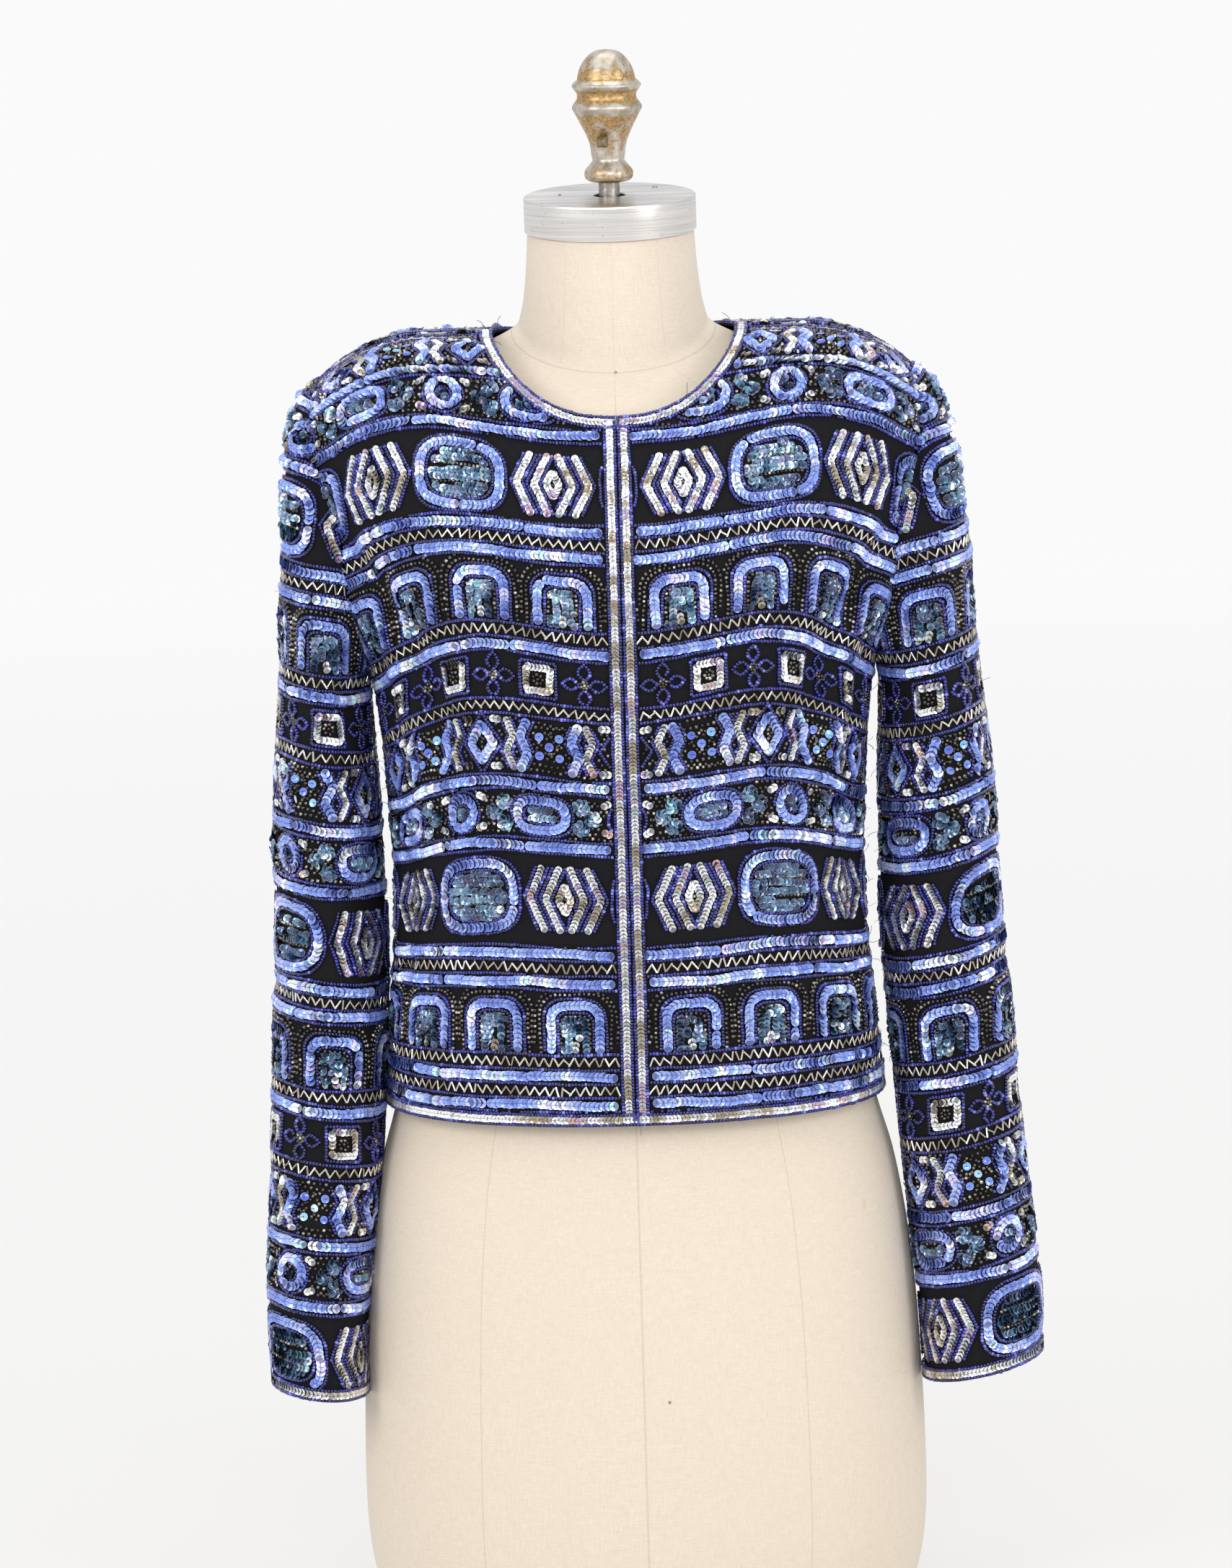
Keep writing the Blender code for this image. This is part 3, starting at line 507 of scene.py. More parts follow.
BACK_CREASES = (
    (-176.0, 250.0, -196.0, 322.0, 2.8, 10.0),
    (172.0, 240.0, 196.0, 318.0, 3.0, 10.0),
    (-120.0, 40.0, -128.0, 200.0, 1.6, 14.0),
    (132.0, 30.0, 124.0, 180.0, 1.9, 13.0),
    (-40.0, 170.0, 38.0, 176.0, 1.6, 9.0),
    (-66.0, 196.0, 30.0, 190.0, -1.0, 9.0),
    (20.0, 60.0, 24.0, 150.0, 1.0, 14.0),
    (-70.0, 492.0, 74.0, 496.0, 1.4, 14.0),
)
LEFT_SLEEVE_CREASES = (
    (-20.0, 262.0, 66.0, 246.0, 2.6, 8.0),
    (14.0, 300.0, 96.0, 322.0, 2.2, 9.0),
    (-34.0, 334.0, 40.0, 352.0, -1.4, 9.0),
    (40.0, 186.0, 104.0, 204.0, 1.6, 8.0),
    (-60.0, 150.0, 16.0, 132.0, 1.5, 9.0),
    (30.0, 92.0, 92.0, 80.0, 1.7, 8.0),
    (30.0, 410.0, 100.0, 452.0, 2.4, 10.0),
    (-12.0, 470.0, 46.0, 520.0, -1.5, 12.0),
    (10.0, 30.0, 70.0, 36.0, 1.0, 8.0),
    (-110.0, 268.0, -30.0, 290.0, 2.2, 9.0),
    (-118.0, 340.0, -50.0, 318.0, 1.8, 10.0),
    (-100.0, 120.0, -52.0, 104.0, 1.4, 9.0),
)
RIGHT_SLEEVE_CREASES = (
    (-26.0, 246.0, 58.0, 262.0, 2.2, 8.0),
    (18.0, 288.0, 92.0, 306.0, 2.6, 9.0),
    (30.0, 216.0, 100.0, 202.0, 1.8, 9.0),
    (-30.0, 178.0, 44.0, 160.0, 1.3, 9.0),
    (24.0, 120.0, 90.0, 108.0, 1.9, 8.0),
    (-20.0, 66.0, 60.0, 78.0, 1.3, 9.0),
    (46.0, 392.0, 108.0, 440.0, 2.6, 10.0),
    (-10.0, 500.0, 50.0, 536.0, -1.6, 12.0),
    (-104.0, 280.0, -24.0, 262.0, 2.4, 9.0),
    (-120.0, 352.0, -40.0, 338.0, 1.6, 10.0),
    (-90.0, 96.0, -40.0, 110.0, 1.5, 9.0),
)
CREASES = {
    "front_left": FRONT_CREASES + LEFT_EXTRA_CREASES, "front_right": FRONT_CREASES + RIGHT_EXTRA_CREASES,
    "back": BACK_CREASES, "sleeve_left": LEFT_SLEEVE_CREASES, "sleeve_right": RIGHT_SLEEVE_CREASES,
}
CREASE_RUN_OUT = 0.25


def creases_depth(creases):
    def depth_at(u, v):
        depth = np.zeros_like(u)
        for row in creases:
            c = dict(zip(CREASE_COLUMNS, row))
            du, dv = c["u_to"] - c["u_from"], c["v_to"] - c["v_from"]
            length = math.hypot(du, dv)
            share = ((u - c["u_from"]) * du + (v - c["v_from"]) * dv) / length**2
            off = ((u - c["u_from"]) * dv - (v - c["v_from"]) * du) / length / c["width"]
            fade = smoothstep((share + CREASE_RUN_OUT) / (2 * CREASE_RUN_OUT))
            fade *= smoothstep((1 + CREASE_RUN_OUT - share) / (2 * CREASE_RUN_OUT))
            depth += c["depth"] * fade * np.exp(-off * off)
        return depth
    return depth_at


for cloth in cloths:
    cloth.push(creases_depth(CREASES[cloth.name]))
print("creases placed:", sum(map(len, CREASES.values())))

# %% [markdown]
# ## Small tools for meshes and materials
#
# The pieces below are lofts, lathes and joined copies. These helpers turn rows of points into a mesh
# with a flat coordinate for each point, and give each material its own node tree.

# %% Mesh helpers
def link(obj):
    bpy.context.scene.collection.objects.link(obj)
    return obj


def new_object(name, points, faces, flat=None, smooth=True):
    """A mesh object; flat holds a coordinate pair for each point, kept as the UV map in metres."""
    mesh = bpy.data.meshes.new(name)
    mesh.from_pydata(np.asarray(points).tolist(), [], faces)
    if flat is not None:
        uv = mesh.uv_layers.new(name="UVMap")
        loops = np.empty(len(mesh.loops), dtype=np.int32)
        mesh.loops.foreach_get("vertex_index", loops)
        uv.data.foreach_set("uv", np.asarray(flat, float)[loops].astype(np.float32).ravel())
    mesh.validate()
    if smooth:
        mesh.shade_smooth()
    return link(bpy.data.objects.new(name, mesh))


def grid_faces(rows, columns, closed=False, flip=False):
    faces = []
    for i in range(rows - 1):
        for j in range(columns if closed else columns - 1):
            k = (j + 1) % columns
            face = (i * columns + j, i * columns + k, (i + 1) * columns + k, (i + 1) * columns + j)
            faces.append(face[::-1] if flip else face)
    return faces


def weld(obj, drop_thin_faces=False):
    """Joins the points of a mesh that lie together."""
    work = bmesh.new()
    work.from_mesh(obj.data)
    bmesh.ops.remove_doubles(work, verts=work.verts, dist=1e-6)
    if drop_thin_faces:
        bmesh.ops.dissolve_degenerate(work, dist=1e-7, edges=work.edges)
    work.to_mesh(obj.data)
    work.free()


def lathe(name, profile, steps):
    """A turned piece from a profile of (radius, height), top down, with UVs round and along it."""
    profile = np.asarray(profile, float)
    along_profile = arc_length(profile) * MM
    points, flat = [], []
    for (radius, z), distance in zip(profile, along_profile):
        for k in range(steps + 1):
            a = 2 * math.pi * k / steps
            points.append((radius * math.sin(a), -radius * math.cos(a), z))
            flat.append((k / steps, distance))
    obj = new_object(name, points, grid_faces(len(profile), steps + 1, flip=True), flat)
    weld(obj, drop_thin_faces=True)
    return obj


def carry(obj, slot, *nodes):
    """Lets a piece ride with the part and hides the solids that it stands for; slot is not used."""
    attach(obj, "root")
    if nodes:
        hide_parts(*nodes)
    return obj


# %% Material helpers
class Nodes:
    """A material's node tree, with short ways to add nodes and join them."""

    def __init__(self, name, **settings):
        self.material = bpy.data.materials.new(name)
        self.material.use_nodes = True
        self.tree = self.material.node_tree
        self.shader = self.tree.nodes["Principled BSDF"]
        for key, value in settings.items():
            self.shader.inputs[key.replace("_", " ")].default_value = value

    def add(self, kind, **settings):
        node = self.tree.nodes.new("ShaderNode" + kind)
        for key, value in settings.items():
            if key in node.inputs:
                node.inputs[key].default_value = value
            else:
                setattr(node, key, value)
        return node

    def join(self, source, target):
        self.tree.links.new(source, target)

    def split(self, vector):
        node = self.add("SeparateXYZ")
        self.join(vector, node.inputs["Vector"])
        return node.outputs

    def feed(self, name, source):
        self.join(source, self.shader.inputs[name])

    def math(self, operation, a, b=0.0):
        node = self.add("Math", operation=operation)
        for socket, value in zip(node.inputs, (a, b)):
            if isinstance(value, (int, float)):
                socket.default_value = value
            else:
                self.join(value, socket)
        return node.outputs[0]

    def ramp(self, factor, *stops):
        node = self.add("ValToRGB")
        elements = node.color_ramp.elements
        while len(elements) < len(stops):
            elements.new(0.5)
        for element, (place, colour) in zip(elements, stops):
            element.position, element.color = place, (*colour, 1.0)
        self.join(factor, node.inputs["Fac"])
        return node.outputs["Color"]

    def mix(self, factor, a, b, blend="MIX"):
        node = self.add("Mix", data_type="RGBA", blend_type=blend)
        for socket, value in ((node.inputs["Factor"], factor), (node.inputs["A"], a), (node.inputs["B"], b)):
            if isinstance(value, (int, float)):
                socket.default_value = value
            elif isinstance(value, tuple):
                socket.default_value = (*value, 1.0)
            else:
                self.join(value, socket)
        return node.outputs["Result"]

    def noise(self, vector, scale, detail=3.0, roughness=0.5):
        node = self.add("TexNoise", Scale=scale, Detail=detail, Roughness=roughness)
        self.join(vector, node.inputs["Vector"])
        return node.outputs["Fac"]

    def scaled(self, vector, by):
        node = self.add("VectorMath", operation="MULTIPLY")
        self.join(vector, node.inputs[0])
        node.inputs[1].default_value = by
        return node.outputs[0]

    def bump(self, height, strength, distance):
        node = self.add("Bump", Strength=strength, Distance=distance)
        self.join(height, node.inputs["Height"])
        self.feed("Normal", node.outputs["Normal"])

    def object_place(self):
        return self.add("TexCoord").outputs["Object"]

    def uv(self):
        return self.add("TexCoord").outputs["UV"]


def srgb(red, green, blue):
    """A colour as seen in the photograph, 0 to 255, in the linear values that shaders take."""
    values = np.array((red, green, blue)) / 255.0
    linear = np.where(values <= 0.04045, values / 12.92, ((values + 0.055) / 1.055) ** 2.4)
    return tuple(float(v) for v in linear)


# %% [markdown]
# ## The crepe
#
# The ground is a thin, matt black crepe with a fine pebbled weave. It shows round the medallions and
# the squares, and as dark lines between the rows. Each cut piece becomes a shell 1.2 mm thick on the
# same grid, so that the cloth has real edges at hem, neck and cuffs.

# %% Cloth shells
SHELL_THICKNESS = 0.0012
SHELL_SINK = 0.0002
ROW_STEP, BODY_SPANS = 6.4, 36


def crepe():
    n = Nodes("black_crepe", Roughness=0.92, Specular_IOR_Level=0.15)
    threads = n.scaled(n.uv(), (2400.0, 2100.0, 1.0))
    waves = []
    for direction in "XY":
        wave = n.add("TexWave", bands_direction=direction, Scale=0.5, Distortion=1.2, Detail=1.0)
        n.join(threads, wave.inputs["Vector"])
        waves.append(wave.outputs["Fac"])
    weave = n.math("MULTIPLY", *waves)
    pebble = n.noise(threads, 0.35, 2.0)
    shade = n.math("ADD", n.math("MULTIPLY", weave, 0.5), n.math("MULTIPLY", pebble, 0.5))
    n.feed("Base Color", n.ramp(shade, (0.15, srgb(14, 13, 15)), (0.85, srgb(38, 36, 38))))
    n.bump(shade, 0.5, 0.0003)
    return n.material


def shell(cloth, *patches):
    """A closed shell for each patch of the cloth, a patch being rows of (u, v) places."""
    points, faces, flat = [], [], []
    flip = cloth.facing < 0
    for rows in patches:
        places = np.array(rows)
        count, columns = places.shape[:2]
        u, v = places[..., 0].ravel(), places[..., 1].ravel()
        place, out = cloth.look_up(cloth.points, u, v), cloth.look_up(cloth.out, u, v)
        total, first = count * columns, sum(map(len, points))
        skin = grid_faces(count, columns, flip=flip)
        lining = [tuple(i + total for i in face[::-1]) for face in skin]
        rim = [*range(columns), *range(2 * columns - 1, total, columns),
               *range(total - 2, total - columns - 1, -1), *range(total - 2 * columns, 0, -columns)]
        edge = [(b, a, a + total, b + total) for a, b in zip(rim, rim[1:] + rim[:1])]
        edge = [face[::-1] for face in edge] if flip else edge
        faces += [tuple(i + first for i in face) for face in skin + lining + edge]
        points += [place - out * SHELL_SINK, place - out * (SHELL_SINK + SHELL_THICKNESS)]
        flat += [np.stack([u, v], 1) * MM] * 2
    obj = new_object(cloth.name + "_crepe", np.concatenate(points), faces, np.concatenate(flat))
    obj.data.set_sharp_from_angle(angle=math.radians(60))
    obj.data.materials.append(crepe_material)
    return carry(obj, "sequinned_cloth", cloth.name)


def half_rows(half, side=1):
    """Rows of one half of the body, from the middle outward, or on side -1 from the outside in."""
    levels = np.concatenate([np.arange(0.0, half.top - ROW_STEP / 2, ROW_STEP), half.neckline[:, 1]])
    rows = []
    for v in np.unique(np.round(levels, 2)):
        places = side * np.linspace(*half.span(v), BODY_SPANS + 1)[::side]
        rows.append([(u, v) for u in places])
    return rows


def sleeve_rows(cloth):
    """Rows of a sleeve, each the same share of the way up every column, so the last is the armhole."""
    rows = []
    for share in np.linspace(0.0, 1.0, int(cloth.v[-1] / ROW_STEP)):
        levels = share * cloth.tops
        rows.append([(np.interp(v, cloth.v, cloth.arcs[:, k]), v) for k, v in enumerate(levels)])
    return rows


crepe_material = crepe()
shells = {cloth.name: shell(cloth, half_rows(cloth.half)) for cloth in fronts.values()}
shells["back"] = shell(back, half_rows(back.half, -1), half_rows(back.half))
shells.update({cloth.name: shell(cloth, sleeve_rows(cloth)) for cloth in sleeves.values()})
for obj in shells.values():
    print(obj.name, len(obj.data.polygons), "faces")

# %% [markdown]
# ## The dress form
#
# The form is papier-mache under a fitted linen cover, cut in gores with a seam at each princess line
# and one round the root of the neck. It is lofted here from the same rings as its solid, only finer.
# Subdividing the solid would be shorter, but it would pull the cover inward off the solid's corners.

# %% Torso of the dress form
FORM_COLUMNS = ("z_front", "z_side", "z_back", "half_width", "front", "back", "square", "y_mid")
FORM_RINGS = {
    "foot": (0.000, 0.000, 0.000, 0.1620, 0.1040, 0.1120, 2.20, 0.000),
    "foot_turn": (0.016, 0.016, 0.016, 0.1730, 0.1120, 0.1200, 2.20, 0.000),
    "hip_low": (0.060, 0.060, 0.060, 0.1790, 0.1160, 0.1250, 2.20, 0.000),
    "hip": (0.140, 0.140, 0.140, 0.1780, 0.1150, 0.1240, 2.20, 0.000),
    "hip_high": (0.215, 0.215, 0.215, 0.1735, 0.1110, 0.1190, 2.20, 0.000),
    "belly": (0.280, 0.280, 0.280, 0.1640, 0.1050, 0.1110, 2.20, 0.000),
    "hem_line": (0.328, 0.328, 0.328, 0.1510, 0.0990, 0.1030, 2.20, 0.000),
    "waist": (0.440, 0.440, 0.440, 0.1230, 0.0880, 0.0780, 2.15, 0.000),
    "ribs": (0.530, 0.530, 0.530, 0.1310, 0.0990, 0.0820, 2.15, 0.000),
    "bust": (0.620, 0.605, 0.610, 0.1440, 0.1150, 0.0920, 2.20, 0.000),
    "chest": (0.690, 0.670, 0.685, 0.1520, 0.1010, 0.0960, 2.30, 0.000),
    "upper_chest": (0.735, 0.725, 0.745, 0.1560, 0.0840, 0.0900, 2.35, 0.003),
    "shoulder": (0.762, 0.762, 0.780, 0.1420, 0.0720, 0.0740, 2.30, 0.006),
    "neck_root": (0.776, 0.796, 0.802, 0.0960, 0.0630, 0.0590, 2.10, 0.008),
    "neck_seam": (0.790, 0.813, 0.818, 0.0640, 0.0580, 0.0490, 2.00, 0.008),
    "neck_low": (0.808, 0.824, 0.832, 0.0575, 0.0560, 0.0480, 2.00, 0.008),
    "neck": (0.838, 0.846, 0.852, 0.0540, 0.0530, 0.0520, 2.00, 0.006),
    "neck_top": (0.8704, 0.8742, 0.8780, 0.0520, 0.0520, 0.0520, 2.00, 0.006),
}
FORM_ROWS, FORM_STEPS = 110, 120
UV_PARTS = 100.0  # the cover's UV map holds degrees and rings in hundredths
SEAM_DEGREES, SEAM_RINGS = 0.16, 0.028  # half widths of the drawn seams
GORE_SEAMS = (0.0, 33.0, 90.0, 147.0, 180.0, 213.0, 270.0, 327.0)
NECK_SEAM_RING = list(FORM_RINGS).index("neck_seam")


def form_row(ring, angles):
    size = row_of(FORM_RINGS, FORM_COLUMNS, ring)
    s, c = np.sin(np.radians(angles)), np.cos(np.radians(angles))
    power = 2.0 / size["square"]
    depth = np.where(c >= 0.0, size["front"], size["back"])
    end = np.where(c > 0.0, size["z_front"], size["z_back"])
    x = size["half_width"] * np.sign(s) * np.abs(s) ** power
    y = -np.sign(c) * depth * np.abs(c) ** power + size["y_mid"]
    return np.stack([x, y, size["z_side"] + (end - size["z_side"]) * np.abs(c)], 1)


def torso():
    """The cover. Its UV map is degrees round and rings up, both in hundredths, so seams find their place."""
    angles = np.linspace(0.0, 360.0, FORM_STEPS + 1)
    rings = np.linspace(0.0, len(FORM_RINGS) - 1, FORM_ROWS)
    points = np.concatenate([form_row(ring, angles) for ring in rings])
    flat = [(angle / UV_PARTS, ring / UV_PARTS) for ring in rings for angle in angles]
    columns = FORM_STEPS + 1
    faces = grid_faces(FORM_ROWS, columns)
    faces.append(tuple(range(FORM_STEPS))[::-1])
    faces.append(tuple(range((FORM_ROWS - 1) * columns, FORM_ROWS * columns - 1)))
    obj = new_object("linen_torso", points, faces, flat)
    weld(obj)
    obj.data.set_sharp_from_angle(angle=math.radians(50))
    obj.data.materials.append(linen())
    return carry(obj, "linen_cover", "form_torso")


def linen():
    """Plain-woven linen, dense and a little slubbed, with fine seams and a few old stains."""
    n = Nodes("linen_cover", Roughness=0.9, Sheen_Weight=0.2, Sheen_Roughness=0.5)
    place = n.object_place()
    warp = n.noise(n.scaled(place, (1900.0, 1900.0, 160.0)), 1.0, 2.0)
    weft = n.noise(n.scaled(place, (160.0, 160.0, 2300.0)), 1.0, 2.0)
    weave = n.math("MULTIPLY", n.math("ADD", warp, weft), 0.5)
    cloud = n.noise(place, 9.0, 4.0)
    stain_field = n.noise(n.scaled(place, (1.0, 1.0, 0.7)), 42.0, 2.0, 0.4)
    stain = n.math("MULTIPLY", n.math("GREATER_THAN", stain_field, 0.765), 0.25)
    base = n.ramp(weave, (0.33, srgb(206, 192, 173)), (0.5, srgb(214, 201, 183)), (0.68, srgb(221, 210, 195)))
    aged = n.mix(n.math("MULTIPLY", cloud, 0.3), base, srgb(212, 194, 168))
    spotted = n.mix(stain, aged, srgb(206, 150, 84))
    seams = seam_mask(n)
    n.feed("Base Color", n.mix(n.math("MULTIPLY", seams, 0.22), spotted, srgb(150, 128, 98)))
    n.bump(n.math("SUBTRACT", weave, n.math("MULTIPLY", seams, 1.6)), 0.35, 0.0004)
    return n.material


def seam_mask(n):
    """1 on the gore seams and on the seam round the neck's root, 0 elsewhere."""
    split = n.split(n.uv())
    degrees, ring = (n.math("MULTIPLY", split[axis], UV_PARTS) for axis in "XY")
    near = None
    for seam in GORE_SEAMS + (360.0,):
        off = n.math("ABSOLUTE", n.math("SUBTRACT", degrees, seam))
        near = off if near is None else n.math("MINIMUM", near, off)
    gore = n.math("LESS_THAN", near, SEAM_DEGREES)
    from_root = n.math("ABSOLUTE", n.math("SUBTRACT", ring, float(NECK_SEAM_RING)))
    neck = n.math("LESS_THAN", from_root, SEAM_RINGS)
    return n.math("MAXIMUM", gore, neck)


# %% [markdown]
# ## Neck cap, rod and finial
#
# The neck is closed with a spun aluminium cap, brushed round, with a small screw and a rivet in its
# top. A steel rod stands in its hole and carries a turned finial whose gilt paint has worn through to
# grey metal on every raised ring. A square-headed bolt clamps the finial to the rod.

# %% Metal pieces
CAP_RADIUS, CAP_THICKNESS, CAP_HOLE_RADIUS, CAP_ROUNDING = 0.0538, 0.0215, 0.0100, 0.0012
CAP_TILT, CAP_BASE = math.radians(4.2), Vector((0.0, 0.006, 0.8746))
FINIAL_BASE_Z = 0.9040
FINIAL_PROFILE = (
    # radius, height above the finial's base, from the top down
    (0.0000, 0.0826), (0.0068, 0.0815), (0.0119, 0.0780), (0.0159, 0.0722), (0.0178, 0.0664),
    (0.0182, 0.0642), (0.0200, 0.0626), (0.0217, 0.0602), (0.0200, 0.0574), (0.0186, 0.0552),
    (0.0188, 0.0518), (0.0206, 0.0494), (0.0219, 0.0466), (0.0207, 0.0438), (0.0178, 0.0384),
    (0.0150, 0.0328), (0.0123, 0.0268), (0.0111, 0.0220), (0.0106, 0.0172), (0.0101, 0.0136),
    (0.0124, 0.0106), (0.0150, 0.0072), (0.0149, 0.0030), (0.0120, 0.0006), (0.0075, 0.0000),
    (0.0000, 0.0000),
)
GILT_WEAR = (
    # height as a share of the finial's, share of the paint that is gone
    (0.0, 0.55), (0.09, 0.5), (0.15, 0.72), (0.24, 0.58), (0.34, 0.44), (0.5, 0.42), (0.54, 0.74),
    (0.585, 0.7), (0.615, 0.28), (0.69, 0.28), (0.715, 0.74), (0.75, 0.7), (0.775, 0.36), (0.84, 0.42),
    (0.89, 0.56), (1.0, 0.64),
)
LATHE_STEPS = 96


def fine_profile(profile, per_step=3):
    """The same outline with smooth curves between its corners."""
    rows = np.asarray(profile)
    at = np.linspace(0.0, len(rows) - 1, (len(rows) - 1) * per_step + 1)
    fine = np.stack([[along(range(len(rows)), rows[:, axis], a) for a in at] for axis in (0, 1)], 1)
    fine[:, 0] = np.maximum(fine[:, 0], 0.0)
    return fine


def neck_cap():
    r, t, lip, hole = CAP_RADIUS, CAP_THICKNESS, CAP_ROUNDING, CAP_HOLE_RADIUS
    turn = [(r - lip + lip * math.sin(a), t - lip + lip * math.cos(a))
            for a in np.linspace(0, math.pi / 2, 7)]
    profile = [(hole, 0.0), (hole, t - 0.0004), (hole + 0.0004, t), (0.5 * (hole + r), t), *turn]
    profile += [(r, 0.5 * t), (r, 0.0003), (r - 0.0003, 0.0), (hole, 0.0)]
    obj = lathe("aluminium_cap", profile, 2 * LATHE_STEPS)
    obj.data.transform(Matrix.Translation(CAP_BASE) @ Matrix.Rotation(CAP_TILT, 4, "X"))
    obj.data.set_sharp_from_angle(angle=math.radians(35))
    obj.data.materials.append(brushed_aluminium())
    return carry(obj, "brushed_aluminium", "form_neck_cap")


def brushed_aluminium():
    n = Nodes("brushed_aluminium", Metallic=1.0, Anisotropic=0.5)
    place = n.object_place()
    brushed = n.noise(n.scaled(place, (14.0, 14.0, 2600.0)), 1.0, 3.0, 0.6)
    smudge = n.noise(place, 45.0, 4.0)
    scratch = n.noise(n.scaled(place, (420.0, 90.0, 420.0)), 1.0, 2.0, 0.7)
    scratches = n.math("GREATER_THAN", scratch, 0.69)
    grain = n.ramp(brushed, (0.3, srgb(196, 191, 186)), (0.7, srgb(240, 237, 233)))
    n.feed("Base Color", n.mix(n.math("MULTIPLY", scratches, 0.35), grain, srgb(120, 116, 112)))
    n.feed("Roughness", n.math("ADD", n.math("MULTIPLY", smudge, 0.22), 0.2))
    n.bump(n.math("SUBTRACT", brushed, n.math("MULTIPLY", scratches, 0.3)), 0.18, 0.0002)
    return n.material


def finial():
    obj = lathe("turned_finial", fine_profile(FINIAL_PROFILE), LATHE_STEPS)
    obj.data.transform(Matrix.Translation((0.0, CAP_BASE.y, FINIAL_BASE_Z)))
    obj.data.materials.append(worn_gilt())
    return carry(obj, "worn_gilt", "form_finial")


def worn_gilt():
    """Gilt paint over grey metal, worn off in patches and on the raised rings."""
    n = Nodes("worn_gilt", Metallic=0.85)
    place = n.object_place()
    patches = n.noise(place, 120.0, 5.0, 0.65)
    chips = n.noise(place, 520.0, 3.0, 0.7)
    from_base = n.math("SUBTRACT", n.split(place)["Z"], FINIAL_BASE_Z)
    height = n.math("DIVIDE", from_base, FINIAL_PROFILE[0][1])
    worn = n.ramp(height, *((at, (share, share, share)) for at, share in GILT_WEAR))
    wear = n.math("ADD", n.math("MULTIPLY", patches, 0.75), n.math("MULTIPLY", chips, 0.3))
    wear = n.math("ADD", wear, n.math("MULTIPLY", n.math("SUBTRACT", worn, 0.5), 0.75))
    gilt = n.ramp(chips, (0.3, srgb(136, 106, 66)), (0.7, srgb(210, 176, 124)))
    metal = n.ramp(patches, (0.3, srgb(146, 134, 116)), (0.7, srgb(216, 208, 196)))
    bare = n.ramp(wear, (0.44, (0.0, 0.0, 0.0)), (0.6, (1.0, 1.0, 1.0)))
    n.feed("Base Color", n.mix(bare, gilt, metal))
    n.feed("Roughness", n.math("ADD", n.math("MULTIPLY", chips, 0.3), 0.25))
    n.bump(n.math("SUBTRACT", chips, bare), 0.3, 0.0003)
    return n.material


def steel(name, dark, light, roughness):
    n = Nodes(name, Metallic=1.0)
    place = n.object_place()
    grain = n.noise(place, 300.0, 4.0, 0.6)
    n.feed("Base Color", n.ramp(grain, (0.3, dark), (0.7, light)))
    n.feed("Roughness", n.math("ADD", n.math("MULTIPLY", grain, 0.3), roughness))
    n.bump(grain, 0.2, 0.0002)
    return n.material


def dress(node, material):
    """Gives a solid that stays visible its finish."""
    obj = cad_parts[node]
    obj.data.materials.clear()
    obj.data.materials.append(material)


def small_dome(name, centre, axis, radius, height, material, slot_name):
    """A pin's or screw's low rounded head on a surface."""
    turns = np.linspace(0.0, math.pi / 2, 6)
    profile = [(radius * math.sin(a), height * math.cos(a)) for a in turns] + [(radius, -height)]
    obj = lathe(name, profile, 24)
    turned = Vector(axis).to_track_quat("Z", "Y").to_matrix().to_4x4()
    obj.data.transform(Matrix.Translation(centre) @ turned)
    obj.data.materials.append(material)
    return carry(obj, slot_name)


def on_cap(x, y):
    """A place on the tilted top of the cap."""
    return Matrix.Translation(CAP_BASE) @ Matrix.Rotation(CAP_TILT, 4, "X") @ Vector((x, y, CAP_THICKNESS))


def on_form(ring, degrees):
    """A place on the cover and the way out of it."""
    at = form_row(ring, np.array([degrees, degrees + 0.5]))
    above = form_row(ring + 0.02, np.array([degrees]))[0]
    return Vector(at[0]), Vector(at[1] - at[0]).cross(Vector(above - at[0])).normalized()


linen_torso, aluminium_cap, turned_finial = torso(), neck_cap(), finial()
pin_steel = steel("pin_steel", srgb(120, 100, 76), srgb(196, 176, 150), 0.3)
cap_axis = Matrix.Rotation(CAP_TILT, 3, "X") @ Vector((0.0, 0.0, 1.0))
small_dome("cap_screw", on_cap(0.0286, 0.027), cap_axis, 0.0019, 0.0008,
           steel("screw_steel", srgb(96, 92, 88), srgb(170, 166, 160), 0.25), "dull_steel")
small_dome("cap_rivet", on_cap(-0.031, 0.0055), cap_axis, 0.0012, 0.0003,
           steel("rivet_steel", srgb(58, 34, 26), srgb(96, 60, 44), 0.6), "dull_steel")
for name, ring, degrees in (("neck_pin", NECK_SEAM_RING + 0.03, 0.6), ("hip_pin", 3.15, 4.0)):
    place, outward = on_form(ring, degrees)
    small_dome(name, place, outward, 0.0009, 0.0006, pin_steel, "dull_steel")
dress("form_finial_rod", steel("rod_steel", srgb(108, 104, 98), srgb(184, 178, 170), 0.25))
dress("form_set_bolt", steel("bolt_steel", srgb(84, 70, 52), srgb(150, 134, 108), 0.35))
dress("neck_hook_and_eye", steel("hook_steel", srgb(26, 26, 30), srgb(84, 84, 92), 0.3))
print("form pieces:", linen_torso.name, aluminium_cap.name, turned_finial.name)

# %% [markdown]
# ## What is sewn on
#
# Small things make the whole surface: cupped sequins, round seed beads, glass bugles and, here and
# there, the loose end of a thread. The blue sequins overlap like coins in a row, each held by a thread
# from its hole to its edge. The teal ones lie looser. Real sequins are stamped and then cupped, so a
# shallow cone with ten sides has the right glint at a small part of the cost of a bowl.

